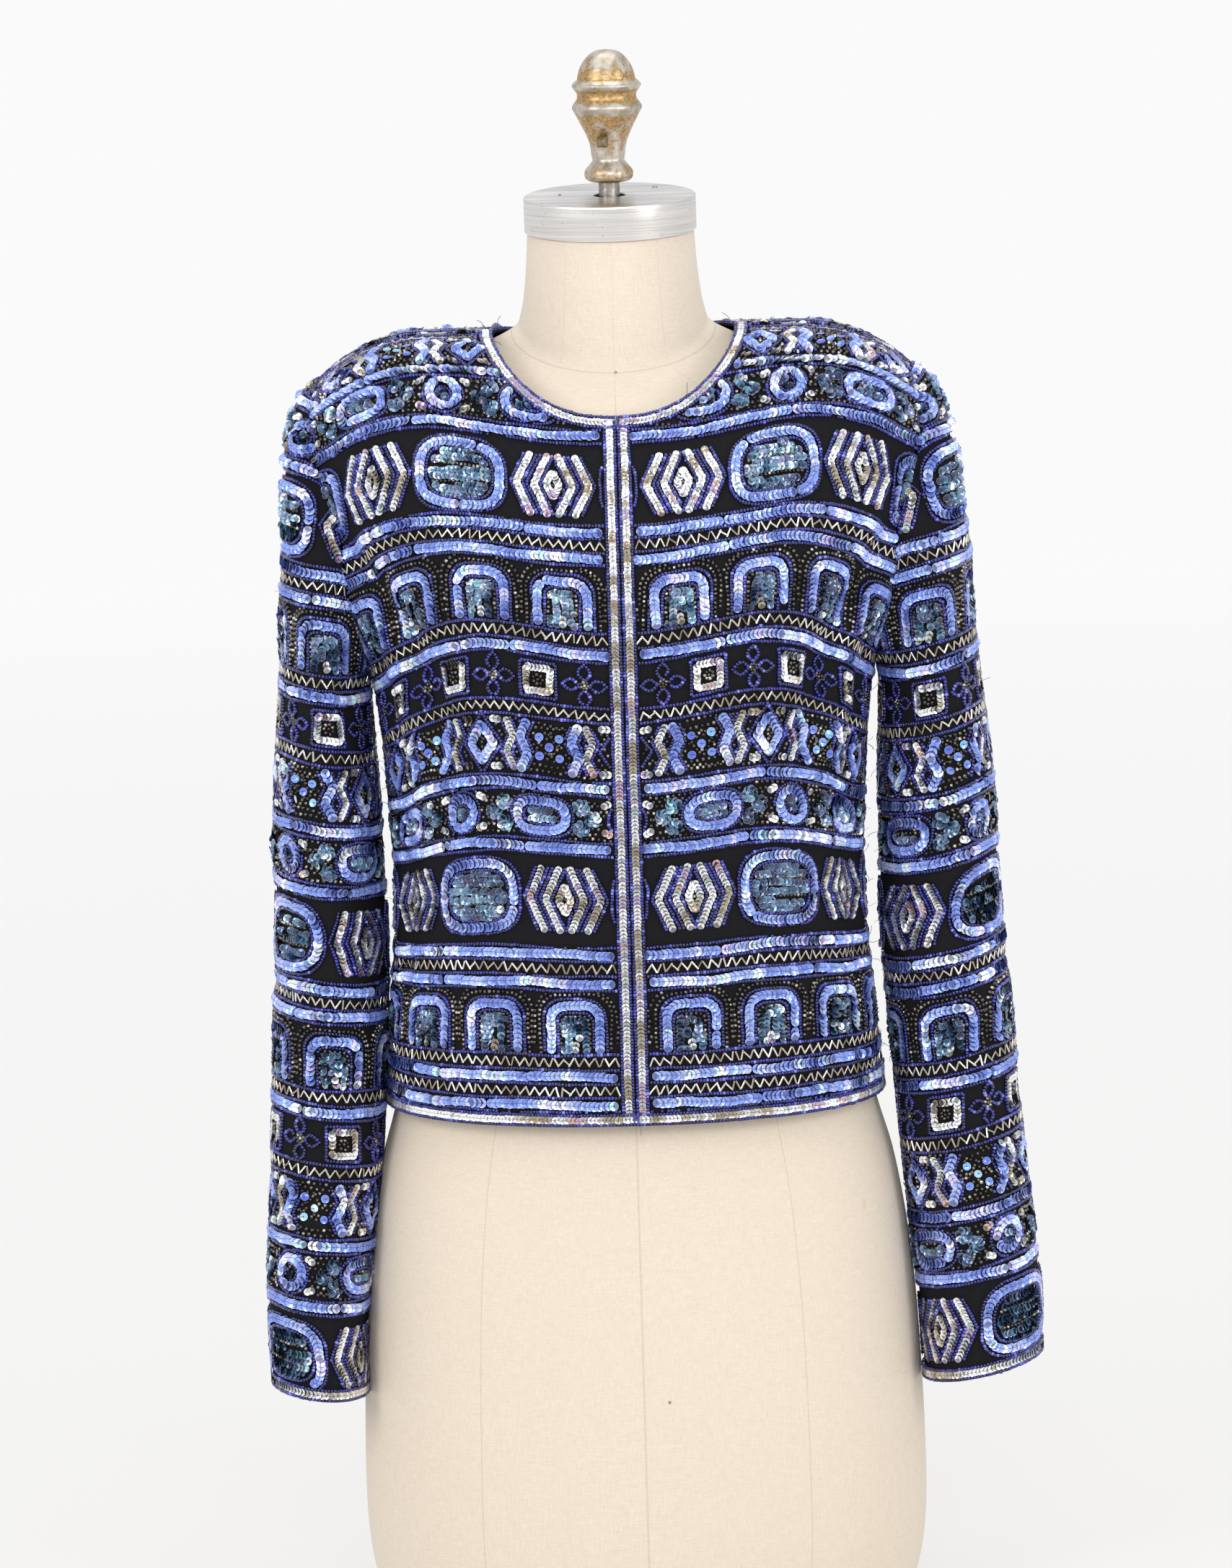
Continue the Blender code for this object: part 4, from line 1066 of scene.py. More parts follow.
# %% Sequin, bead and bugle patterns
KIND_COLUMNS = ("pattern", "breadth", "pitch", "lift", "lean", "tilt", "spread", "reach")
KINDS = {
    # sizes in millimetres, lean and tilt in degrees
    "blue": ("sequin", 6.1, 3.0, 1.0, 8.0, 8.0, 0.06, 2.7),
    "silver": ("sequin", 4.8, 2.45, 0.85, 8.0, 7.0, 0.05, 2.1),
    "teal": ("sequin", 5.0, 2.7, 0.95, 20.0, 17.0, 0.1, 1.5),
    "dot": ("sequin", 5.4, 6.5, 0.75, 2.0, 8.0, 0.05, 2.6),
    "seed": ("bead", 1.9, 2.05, 0.8, 0.0, 6.0, 0.1, 0.85),
    "smoke": ("bead", 1.85, 2.6, 0.75, 0.0, 14.0, 0.15, 0.9),
    "bugle": ("bugle", 6.2, 3.15, 0.75, 0.0, 6.0, 0.08, 1.4),
    "thread": ("thread", 6.0, 1.0, 0.4, 0.0, 55.0, 0.5, 0.5),
}
SEQUIN_SIDES, SEQUIN_CUP = 10, 0.15
BEAD_FULLNESS, BEAD_HALF_LENGTH = 1.3, 0.42
BUGLE_SIDES, BUGLE_SLIMNESS = 6, 0.12
THREAD_SIDES, THREAD_BENDS, THREAD_RADIUS = 3, 6, 0.022
THREAD_RISE, THREAD_ARC = 0.45, 1.9
STANDING_LEAN, STANDING_LIFT, LOOSE_SHARE, CROWDED = 36.0, 0.25, 2.2, 0.3


def kind_value(kind, column):
    return KINDS[kind][KIND_COLUMNS.index(column)]


def sequin_pattern():
    """A cupped disc one unit across, its UV running from -1 to 1."""
    ring = [(math.cos(a), math.sin(a)) for a in np.arange(SEQUIN_SIDES) * 2 * math.pi / SEQUIN_SIDES]
    points = [(0.0, 0.0, -SEQUIN_CUP / 2), *((0.5 * x, 0.5 * y, SEQUIN_CUP / 2) for x, y in ring)]
    faces = [(0, 1 + k, 1 + (k + 1) % SEQUIN_SIDES) for k in range(SEQUIN_SIDES)]
    return new_object("sequin_pattern", points, faces, [(0.0, 0.0), *ring])


def bead_pattern():
    """A seed bead one unit across, threaded along X, rounded by its normals and open underneath."""
    corners = [(0.5 * math.cos(a), 0.5 * math.sin(a)) for a in (np.arange(4) + 0.5) * math.pi / 2]
    points = [(x, BEAD_FULLNESS * y, BEAD_FULLNESS * z)
              for x in (-BEAD_HALF_LENGTH, BEAD_HALF_LENGTH) for y, z in corners]
    walls = [face for face in grid_faces(2, 4, closed=True) if not {2, 3} <= set(face)]
    return new_object("bead_pattern", points, [(3, 2, 1, 0), (4, 5, 6, 7), *walls])


def bugle_pattern():
    """A glass tube one unit long, lying along X."""
    turns = np.arange(BUGLE_SIDES) * 2 * math.pi / BUGLE_SIDES
    ring = [(BUGLE_SLIMNESS * math.cos(a), BUGLE_SLIMNESS * math.sin(a)) for a in turns]
    points = [(x, y, z) for x in (-0.5, 0.5) for y, z in ring]
    faces = [tuple(range(BUGLE_SIDES))[::-1], tuple(range(BUGLE_SIDES, 2 * BUGLE_SIDES))]
    faces += grid_faces(2, BUGLE_SIDES, closed=True)
    obj = new_object("bugle_pattern", points, faces)
    obj.data.set_sharp_from_angle(angle=math.radians(70))
    return obj


def thread_pattern():
    """The loose end of a sewing thread, one unit long, rising from the cloth in an arc."""
    turns = np.arange(THREAD_SIDES) * 2 * math.pi / THREAD_SIDES
    points = [(x, THREAD_RADIUS * math.cos(a), THREAD_RISE * math.sin(THREAD_ARC * x)
               + THREAD_RADIUS * math.sin(a)) for x in np.linspace(0.0, 1.0, THREAD_BENDS) for a in turns]
    return new_object("thread_pattern", points, grid_faces(THREAD_BENDS, THREAD_SIDES, closed=True))


PATTERNS = {"sequin": sequin_pattern(), "bead": bead_pattern(), "bugle": bugle_pattern(),
            "thread": thread_pattern()}


# %% [markdown]
# ## A tree that sews things on
#
# One Geometry Nodes tree does all the sewing. It takes points that carry their turn, size and tint,
# sets a pattern on each, tilts it by a small seeded amount and grows or shrinks it a little, since no
# two stitches pull the same. The script works out only where the stitches go.

# %% The sewing tree
def sewing_tree():
    tree = bpy.data.node_groups.new("sew_on", "GeometryNodeTree")
    face = tree.interface
    face.new_socket("Stitches", in_out="INPUT", socket_type="NodeSocketGeometry")
    for name, kind in (("Piece", "Object"), ("Tilt spread", "Float"), ("Size spread", "Float"),
                       ("Seed", "Int"), ("Finish", "Material")):
        face.new_socket(name, in_out="INPUT", socket_type="NodeSocket" + kind)
    face.new_socket("Beadwork", in_out="OUTPUT", socket_type="NodeSocketGeometry")
    add, join = tree.nodes.new, tree.links.new
    given, result = add("NodeGroupInput"), add("NodeGroupOutput")

    def attribute(name, kind):
        node = add("GeometryNodeInputNamedAttribute")
        node.data_type = kind
        node.inputs["Name"].default_value = name
        return node.outputs["Attribute"]

    def math_node(operation, a, b):
        node = add("ShaderNodeMath")
        node.operation = operation
        for socket, value in zip(node.inputs, (a, b)):
            if isinstance(value, (int, float)):
                socket.default_value = value
            else:
                join(value, socket)
        return node.outputs[0]

    def random(kind, low, high, seed_shift):
        node = add("FunctionNodeRandomValue")
        node.data_type = kind
        sockets = [s for s in node.inputs if s.enabled]
        for socket, value in zip(sockets, (low, high)):
            join(value, socket)
        join(math_node("ADD", given.outputs["Seed"], seed_shift), node.inputs["Seed"])
        return next(s for s in node.outputs if s.enabled)

    info = add("GeometryNodeObjectInfo")
    join(given.outputs["Piece"], info.inputs["Object"])
    tilt_low = math_node("MULTIPLY", given.outputs["Tilt spread"], -1.0)
    turn = add("FunctionNodeEulerToRotation")
    join(attribute("turn", "FLOAT_VECTOR"), turn.inputs[0])
    loosened = add("ShaderNodeVectorMath")
    loosened.operation = "SCALE"
    join(random("FLOAT_VECTOR", tilt_low, given.outputs["Tilt spread"], 1), loosened.inputs[0])
    join(attribute("looseness", "FLOAT"), loosened.inputs["Scale"])
    shake = add("FunctionNodeEulerToRotation")
    join(loosened.outputs["Vector"], shake.inputs[0])
    rotate = add("FunctionNodeRotateRotation")
    rotate.rotation_space = "LOCAL"
    join(turn.outputs[0], rotate.inputs[0])
    join(shake.outputs[0], rotate.inputs[1])
    small = math_node("SUBTRACT", 1.0, given.outputs["Size spread"])
    large = math_node("ADD", 1.0, given.outputs["Size spread"])
    size = math_node("MULTIPLY", attribute("size", "FLOAT"), random("FLOAT", small, large, 2))
    sew = add("GeometryNodeInstanceOnPoints")
    join(given.outputs["Stitches"], sew.inputs["Points"])
    join(info.outputs["Geometry"], sew.inputs["Instance"])
    join(rotate.outputs[0], sew.inputs["Rotation"])
    join(size, sew.inputs["Scale"])
    realize, finish = add("GeometryNodeRealizeInstances"), add("GeometryNodeSetMaterial")
    join(sew.outputs["Instances"], realize.inputs["Geometry"])
    join(realize.outputs["Geometry"], finish.inputs["Geometry"])
    join(given.outputs["Finish"], finish.inputs["Material"])
    join(finish.outputs["Geometry"], result.inputs["Beadwork"])
    return tree


SEW_ON = sewing_tree()
SEW_INPUTS = {item.name: item.identifier for item in SEW_ON.interface.items_tree if item.in_out == "INPUT"}


def euler_angles(x_axis, z_axis):
    """Euler angles that turn X and Z to the given axes, row by row."""
    y_axis = np.cross(z_axis, x_axis)
    return np.stack([np.arctan2(y_axis[:, 2], z_axis[:, 2]), -np.arcsin(np.clip(x_axis[:, 2], -1, 1)),
                     np.arctan2(x_axis[:, 1], x_axis[:, 0])], 1)


def sew_on(name, cloth, kind, u, v, heading, ruffle, tint, finish, seed):
    """Sews one kind of thing on a cloth at the places of its chart, and leaves a plain mesh."""
    sizes = dict(zip(KIND_COLUMNS, KINDS[kind]))
    across, out = unit(cloth.look_up(cloth.across, u, v)), unit(cloth.look_up(cloth.out, u, v))
    up = cloth.look_up(cloth.up, u, v)
    heading = heading[:, None]
    run = unit(across * np.cos(heading) + up * np.sin(heading))
    run = unit(run - out * np.sum(run * out, 1, keepdims=True))
    flat = sizes["pattern"] == "sequin"
    # a crowded sequin stands with its face to the front, or to the rear on the jacket's back
    toward_eye = np.stack([np.zeros(len(u)), np.where(out[:, 1] > 0.2, 1.0, -1.0), np.full(len(u), 0.3)], 1)
    faces_away = np.sum(run * toward_eye, 1) > 0.0
    run = run * np.where(flat & faces_away & (ruffle > CROWDED), -1.0, 1.0)[:, None]
    lean = np.radians(sizes["lean"] + flat * STANDING_LEAN * ruffle)[:, None]
    x_axis, z_axis = run * np.cos(lean) + out * np.sin(lean), out * np.cos(lean) - run * np.sin(lean)
    mesh = bpy.data.meshes.new(name)
    mesh.vertices.add(len(u))
    lift = sizes["lift"] + flat * STANDING_LIFT * sizes["breadth"] * ruffle
    places = cloth.look_up(cloth.points, u, v) + out * lift[:, None] * MM
    mesh.vertices.foreach_set("co", places.astype(np.float32).ravel())
    fields = {"turn": euler_angles(x_axis, z_axis), "size": np.full(len(u), sizes["breadth"] * MM),
              "looseness": 1.0 + LOOSE_SHARE * ruffle, "tint": tint}
    for label, values in fields.items():
        is_vector = label == "turn"
        field = mesh.attributes.new(label, "FLOAT_VECTOR" if is_vector else "FLOAT", "POINT")
        field.data.foreach_set("vector" if is_vector else "value", np.asarray(values, np.float32).ravel())
    stitches = link(bpy.data.objects.new(name + "_stitches", mesh))
    sewing = stitches.modifiers.new("sewing", "NODES")
    sewing.node_group = SEW_ON
    given = {"Piece": PATTERNS[sizes["pattern"]], "Tilt spread": math.radians(sizes["tilt"]),
             "Size spread": sizes["spread"], "Seed": seed, "Finish": finish}
    for label, value in given.items():
        sewing[SEW_INPUTS[label]] = value
    evaluated = stitches.evaluated_get(bpy.context.evaluated_depsgraph_get())
    sewn = bpy.data.meshes.new_from_object(evaluated)
    bpy.data.objects.remove(stitches, do_unlink=True)
    for label in ("turn", "size", "looseness"):
        if label in sewn.attributes:
            sewn.attributes.remove(sewn.attributes[label])
    return carry(link(bpy.data.objects.new(name, sewn)), "sequinned_cloth")


# %% [markdown]
# ## Finishes of the beadwork
#
# The blue sequins are dyed plastic with a satin face that turns lilac and pale cyan at some angles.
# Silver ones are metallised film, and some have a rainbow cast. Each thing carries a tint from 0 to 1,
# so one material gives every shade in a row. In the sequins' ramps the near-white tints are painted
# highlights, and the lilac, cyan and rainbow tints are painted reflections, fixed on each sequin
# instead of turning with the angle. The hole and the holding thread are painted in the sequin's own
# UV, since as geometry they would treble its cost. So are a painted shadow beside the edge of the
# neighbour that lies over a sequin, and a painted highlight round its rim.

# %% Bead and sequin finishes
# The rim colour is a painted highlight: a pale blue-white band round each sequin's edge, as if the edge
# caught the light.
THREAD_COLOUR, RIM_HIGHLIGHT_COLOUR = (0.008, 0.008, 0.03), (0.75, 0.82, 1.0)
HOLE_RADIUS, THREAD_HALF_WIDTH, RIM_HIGHLIGHT_START = 0.17, 0.06, 0.9  # shares of a sequin's radius


def sequin_finish(name, kind, shades, roughness, metallic, film, coat=0.5, paints_overlap_shade=True):
    n = Nodes(name, Coat_Weight=coat, Coat_Roughness=0.1, Thin_Film_Thickness=film, Thin_Film_IOR=1.45,
              Metallic=metallic)
    tint = n.add("Attribute", attribute_name="tint").outputs["Fac"]
    uv = n.add("Attribute", attribute_name="UVMap").outputs["Vector"]
    split = n.split(uv)

    def distance_from(place):
        node = n.add("VectorMath", operation="DISTANCE")
        n.join(uv, node.inputs[0])
        node.inputs[1].default_value = place
        return node.outputs["Value"]

    radius = distance_from((0.0, 0.0, 0.0))
    hole = n.math("LESS_THAN", radius, HOLE_RADIUS)
    in_line = n.math("LESS_THAN", n.math("ABSOLUTE", split["Y"]), THREAD_HALF_WIDTH)
    thread = n.math("MULTIPLY", in_line, n.math("GREATER_THAN", split["X"], 0.0))
    dark = n.math("MAXIMUM", hole, n.math("MULTIPLY", thread, 0.85))
    colour = n.ramp(tint, *shades)
    if paints_overlap_shade:
        breadth, pitch = kind_value(kind, "breadth"), kind_value(kind, "pitch")
        # Painted shadow: beside the edge of the neighbour that lies over this sequin, the colour is darkened
        # as if in that edge's shade.
        beyond = n.math("SUBTRACT", distance_from((-2.0 * pitch / breadth, 0.0, 0.0)), 1.0)
        shaded = n.ramp(beyond, (0.0, (0.28, 0.29, 0.36)), (0.13, (0.8, 0.82, 0.87)),
                        (0.3, (1.0, 1.0, 1.0)))
        colour = n.mix(1.0, colour, shaded, "MULTIPLY")
    # Painted highlight: the outer band of each sequin is lightened towards the rim colour.
    rim = n.math("MULTIPLY", n.math("GREATER_THAN", radius, RIM_HIGHLIGHT_START), 0.35)
    n.feed("Base Color", n.mix(dark, n.mix(rim, colour, RIM_HIGHLIGHT_COLOUR), THREAD_COLOUR))
    n.feed("Roughness", n.math("ADD", n.math("MULTIPLY", dark, 0.5), roughness))
    return n.material


def glass_finish(name, shades, roughness, metallic=0.0, coat=0.5):
    n = Nodes(name, Coat_Weight=coat, Coat_Roughness=0.05, Roughness=roughness, Metallic=metallic)
    tint = n.add("Attribute", attribute_name="tint").outputs["Fac"]
    n.feed("Base Color", n.ramp(tint, *shades))
    return n.material


# Painted light in the sequin ramps: the near-white stops are painted highlights, and the lilac, cyan and
# rainbow stops are painted reflections.
FINISHES = {
    "blue": sequin_finish("blue_sequins", "blue", (
        (0.0, srgb(98, 120, 208)), (0.26, srgb(128, 154, 234)), (0.5, srgb(152, 177, 246)),
        (0.64, srgb(172, 192, 250)), (0.75, srgb(216, 204, 250)), (0.83, srgb(190, 234, 252)),
        (0.92, srgb(252, 253, 255))), 0.28, 0.35, 300.0),
    "silver": sequin_finish("silver_sequins", "silver", (
        (0.0, srgb(160, 138, 112)), (0.14, srgb(184, 176, 150)), (0.26, srgb(218, 214, 206)),
        (0.42, srgb(252, 251, 248)), (0.72, srgb(246, 244, 240)), (0.84, srgb(180, 196, 184)),
        (0.93, srgb(196, 168, 206)), (1.0, srgb(220, 180, 160))), 0.24, 0.8, 420.0),
    "teal": sequin_finish("teal_sequins", "teal", (
        (0.0, srgb(30, 50, 84)), (0.32, srgb(56, 94, 132)), (0.55, srgb(88, 136, 170)),
        (0.7, srgb(108, 152, 178)), (0.8, srgb(140, 142, 188)), (0.88, srgb(134, 206, 214)),
        (0.95, srgb(240, 250, 252))), 0.2, 0.4, 460.0, coat=0.8),
    "dot": sequin_finish("dot_sequins", "dot", (
        (0.0, srgb(84, 102, 204)), (0.5, srgb(120, 150, 232)), (0.8, srgb(130, 196, 226)),
        (1.0, srgb(214, 232, 246))), 0.25, 0.35, 380.0, paints_overlap_shade=False),
    "seed": glass_finish("blue_seed_beads", (
        (0.0, srgb(12, 13, 50)), (0.5, srgb(26, 29, 106)), (0.8, srgb(44, 49, 152)),
        (1.0, srgb(124, 130, 226))), 0.14, 0.2, coat=0.7),
    "smoke": glass_finish("smoky_beads", (
        (0.0, srgb(34, 32, 31)), (0.5, srgb(84, 79, 73)), (0.8, srgb(136, 129, 119)),
        (1.0, srgb(206, 200, 190))), 0.18, 0.85),
    "bugle": glass_finish("silver_lined_bugles", (
        (0.0, srgb(118, 106, 90)), (0.5, srgb(184, 176, 162)), (1.0, srgb(248, 246, 240))), 0.16, 0.9),
    "thread": glass_finish("sewing_thread", (
        (0.0, srgb(14, 14, 40)), (1.0, srgb(40, 40, 96))), 0.7, coat=0.0),
}
print("finishes:", ", ".join(material.name for material in FINISHES.values()))

# %% [markdown]
# ## The chart
#
# The design is a ladder of level bands that repeats up the cloth: stripes of blue sequins, zigzags of
# bugles, medallions between chevrons, arches, squares with bead flowers, diamonds between silver waves,
# and ovals. These are common geometric motifs, and each is charted here from its sizes alone.
#
# A band is a list of marks. Each mark is a line that one kind of thing is sewn along, and a stage:
# rows of sequins are laid first, then the bead lines round them, then the fillings. A thing is skipped
# where its place is already taken, as a hand would skip it.

# %% Lines and loops
def ellipse(half_u, half_v, count=40, square=2.0):
    a = np.linspace(0.0, 2 * math.pi, count, endpoint=False)
    power = 2.0 / square
    s, c = np.sin(a), np.cos(a)
    return np.stack([half_u * np.sign(c) * np.abs(c) ** power, half_v * np.sign(s) * np.abs(s) ** power], 1)


def arch_line(half_u, top, foot, corner=9.0):
    """From the lower left foot up over the crown to the lower right foot."""
    corner = min(corner, 0.9 * half_u)
    turn = np.linspace(0.0, math.pi / 2, 7)
    left = [(-half_u + corner - corner * math.cos(a), top - corner + corner * math.sin(a)) for a in turn]
    right = [(-u, v) for u, v in left[::-1]]
    return np.array([(-half_u, foot), *left, *right, (half_u, foot)])


def polygon(*corners):
    return np.array(corners, float)


def petal(angle, length, width):
    t = np.linspace(0.0, 1.0, 9)
    half = width / 2 * np.sin(math.pi * t)
    along_petal, side = np.concatenate([t, t[-2:0:-1]]) * length, np.concatenate([half, -half[-2:0:-1]])
    s, c = math.sin(angle), math.cos(angle)
    return np.stack([along_petal * c - side * s, along_petal * s + side * c], 1)


# %% Marks of each band
# kind, wobble and distance of the bead lines above and below
LEVEL_ROWS = {"stripe": ("blue", 0.55, 4.4), "zigzag": ("bugle", 0.25, 4.7)}
OUTLINE_GAP = 4.3
ZIGZAG_SLOPE = math.radians(60.0)
PETAL_LENGTH, PETAL_WIDTH, PETAL_START = 10.4, 7.4, 3.1


def mark(stage, kind, line, closed=False, wobble=0.3, pitch=None):
    return {"stage": stage, "kind": kind, "line": np.asarray(line, float), "closed": closed,
            "wobble": wobble, "pitch": pitch or kind_value(kind, "pitch")}


def moved(marks, u, v):
    return [{**m, "line": m["line"] + (u, v)} for m in marks]


def level_line(span, v, step=12.0):
    return np.array([(u, v) for u in np.arange(span[0], span[1] + step, step)])


def level_row(name, span, v):
    kind, wobble, beside = LEVEL_ROWS[name]
    line = level_line(span, v)
    seeds = [mark(2, "seed", line + (0.0, side * beside)) for side in (-1, 1)]
    return [mark(1, kind, line, wobble=wobble), *seeds]


def dotted(kind, *places, stage=1):
    """Single things, each on its own place."""
    return [mark(stage, kind, [(u - 0.3, v), (u + 0.3, v)], wobble=0.1) for u, v in places]


def cluster(kind, radius, stage=1):
    """A ring of things round one in the middle."""
    return [mark(stage, kind, ellipse(radius, radius), closed=True, wobble=0.2, pitch=0.9 * radius),
            *dotted(kind, (0.0, 0.0), stage=stage)]


def arch(half_u, half_v):
    def ring(inside, corner, up_by=0.0):
        return arch_line(half_u - inside, half_v - inside, -half_v + up_by, corner)

    marks = [
        mark(1, "blue", ring(OUTLINE_GAP, 9.0, 2.4)),
        mark(2, "seed", ring(0.0, 12.0)),
        mark(2, "seed", ring(2 * OUTLINE_GAP, 6.0)),
        mark(3, "smoke", ring(-2.9, 13.0), wobble=0.5, pitch=3.0),
        mark(4, "smoke", ring(-5.6, 15.0, 6.0), wobble=0.6, pitch=3.4),
        mark(3, "smoke", ring(10.6, 5.0, 3.0), pitch=3.0),
        mark(1, "silver", [(0.6, -half_v + 2.0), (-0.6, -half_v + 8.0)]),
    ]
    return marks + [mark(3, "teal", ring(inside, 3.0, 1.5), wobble=0.5) for inside in (12.6, 15.1, 17.4)]


def teal_rows(half_u, half_v, step=2.7):
    """Level rows of teal sequins inside an oval, with a line of smoky beads after each third row."""
    marks = []
    for k, level in enumerate(np.arange(-half_v + 1.0, half_v, step)):
        reach = half_u * math.sqrt(max(0.0, 1.0 - (level / (half_v + 2.0)) ** 2))
        beads = k % 4 == 3
        marks.append(mark(3, "smoke" if beads else "teal", [(-reach, level), (reach, level)], wobble=0.5))
    return marks


def oval(half_u, half_v, square=2.6):
    blue_u, blue_v = half_u - 4.0, half_v - 4.0
    marks = [
        mark(1, "blue", ellipse(blue_u, blue_v, square=square), closed=True),
        mark(2, "seed", ellipse(half_u, half_v, square=square), closed=True),
        mark(2, "seed", ellipse(blue_u - 4.0, blue_v - 4.0, square=square), closed=True),
    ]
    return marks + teal_rows(blue_u - 6.0, blue_v - 6.0)


def silver_square():
    corners = polygon((-1.0, -1.0), (1.0, -1.0), (1.0, 1.0), (-1.0, 1.0))
    return [
        mark(1, "silver", corners * 7.4, closed=True, wobble=0.15),
        mark(2, "seed", corners * 11.2, closed=True, wobble=0.2),
        *cluster("smoke", 2.9, stage=2),
    ]


def flower():
    """Four pointed petals of seed beads round a cluster of smoky ones."""
    petals = [petal(a, PETAL_LENGTH, PETAL_WIDTH) + (PETAL_START * math.cos(a), PETAL_START * math.sin(a))
              for a in np.arange(4) * math.pi / 2]
    return cluster("smoke", 2.4) + [mark(2, "seed", line, closed=True, wobble=0.15) for line in petals]


def diamond(half_u, half_v, kind="blue"):
    corners = polygon((half_u, 0.0), (0.0, half_v), (-half_u, 0.0), (0.0, -half_v))
    return [
        mark(1, kind, corners, closed=True, wobble=0.2),
        mark(2, "seed", corners * ((half_u + 5.2) / half_u), closed=True, wobble=0.2),
        *dotted("smoke", (0.0, 3.0), (0.0, 0.0), (0.0, -3.0), stage=3),
    ]


def wave(kind, half_v, reach, beside, steps=3):
    levels = np.linspace(-half_v, half_v, steps + 1)
    line = np.array([(reach * (-1) ** k, v) for k, v in enumerate(levels)])
    beads = [mark(2, "seed", line + (side * beside, 0.0), wobble=0.2) for side in (-1, 1)]
    return [mark(1, kind, line, wobble=0.2), *beads]


def dot_field(gap):
    corners = [(u * gap, v * gap) for u in (-1, 1) for v in (-1, 1)]
    between = [(u * gap, v * gap) for u, v in ((-1, 0), (1, 0), (0, -1), (0, 1))]
    beads = [(u + du, v + dv) for u, v in between for du, dv in ((-1.3, 0.9), (1.4, -0.8), (0.2, 2.4))]
    return dotted("dot", *corners, (0.0, 0.0)) + dotted("smoke", *beads, stage=2)


def chevrons(half_v, direction):
    """Two silver chevrons inside each other, outlined with beads."""
    marks = []
    for tip in (0.0, 10.5):
        line = polygon((-9.0, -half_v), (0.0, 0.0), (-9.0, half_v)) * (direction, 1.0)
        line = line + (direction * (tip + 2.0), 0.0)
        marks.append(mark(1, "silver", line, wobble=0.2))
        marks += [mark(2, "seed", line + (side * 3.9, 0.0), wobble=0.2) for side in (-1, 1)]
    return marks


# %% [markdown]
# Each band spaces its motifs evenly from a first place, since a pattern in cut cloth starts at the
# front edge and runs out at the seam. The fronts mirror each other, and the back is centred.

# %% Bands and the ladder
LATTICE_SHIFT = 0.5
PITCH = {"arches": 52.0, "squares": 58.0, "diamonds": 88.0, "ovals": 108.0, "medallions": 116.0}
# kind, distance from the dots, swing and distance of its beads
WAVES = (("blue", 16.0, 2.4, 4.2), ("silver", 25.0, -2.4, 3.6))


def repeat(span, first, band):
    """The places of a band's motifs, each with the place halfway to the next."""
    start, pitch = first[band], PITCH[band]
    low, high = math.floor((span[0] - start) / pitch) - 1, math.ceil((span[1] - start) / pitch) + 2
    return [(start + pitch * k, start + pitch * k + pitch / 2) for k in range(low, high)]


def lattice(kind, span, low, high, gap_u, gap_v, wobble=0.6):
    """Level rows of single things that fill what is still free."""
    rows = []
    for k, v in enumerate(np.arange(low + gap_v / 2, high, gap_v)):
        shift = gap_u * LATTICE_SHIFT * (k % 2)
        rows.append(mark(4, kind, level_line((span[0] + shift, span[1]), v), wobble=wobble, pitch=gap_u))
    return rows


def band_arches(span, low, high, first):
    half = (high - low) / 2 - 1.5
    return [m for u, _ in repeat(span, first, "arches") for m in moved(arch(19.6, half), u, low + half)]


def band_squares(span, low, high, first):
    marks = []
    middle = (low + high) / 2
    for u, between in repeat(span, first, "squares"):
        marks += moved(silver_square(), between, middle) + moved(flower(), u, middle)
    return marks


def band_diamonds(span, low, high, first):
    marks = []
    middle, half = (low + high) / 2, (high - low) / 2 - 3.0
    for u, between in repeat(span, first, "diamonds"):
        marks += moved(dot_field(6.3), u, middle) + moved(diamond(8.0, half - 4.0), between, middle)
        for side in (-1, 1):
            for kind, away, swing, beside in WAVES:
                marks += moved(wave(kind, half, swing, beside), u + side * away, middle)
            for v in (-half + 1.0, half - 1.0):
                corner = [(between + side * 12.5, middle + v), (between + side * 6.5, middle + v)]
                marks.append(mark(1, "silver", corner))
    return marks + lattice("smoke", span, low + 1.0, high - 1.0, 3.7, 3.5, wobble=1.0)


def band_ovals(span, low, high, first):
    marks = []
    middle, half = (low + high) / 2, (high - low) / 2 - 1.0
    for u, between in repeat(span, first, "ovals"):
        marks += moved(oval(19.5, half), u, middle) + moved(oval(12.5, half, 2.0), between, middle)
        for side in (-1, 1):
            for du, dv in ((24.5, 7.0), (24.5, -7.0), (31.5, 0.0)):
                marks += moved(cluster("teal", 3.1), u + side * du, middle + dv)
            for v in (-8.5, 8.5):
                corner = [(between + side * 16.0, middle + v), (between + side * 11.5, middle + 1.25 * v)]
                marks.append(mark(1, "silver", corner))
    return marks + lattice("smoke", span, low, high, 3.6, 3.4, wobble=1.0)


def band_medallions(span, low, high, first):
    marks = []
    middle, half = (low + high) / 2, (high - low) / 2
    for u, between in repeat(span, first, "medallions"):
        marks += moved(oval(29.0, half - 4.0, 3.0), u, middle)
        marks += moved(diamond(4.0, 9.0, "silver"), between, middle)
        for side in (-1, 1):
            marks += moved(chevrons(half - 8.0, -side), between - side * 10.0, middle)
    return marks


BAND_MAKERS = {
    "arches": band_arches, "squares": band_squares, "diamonds": band_diamonds,
    "ovals": band_ovals, "medallions": band_medallions,
}
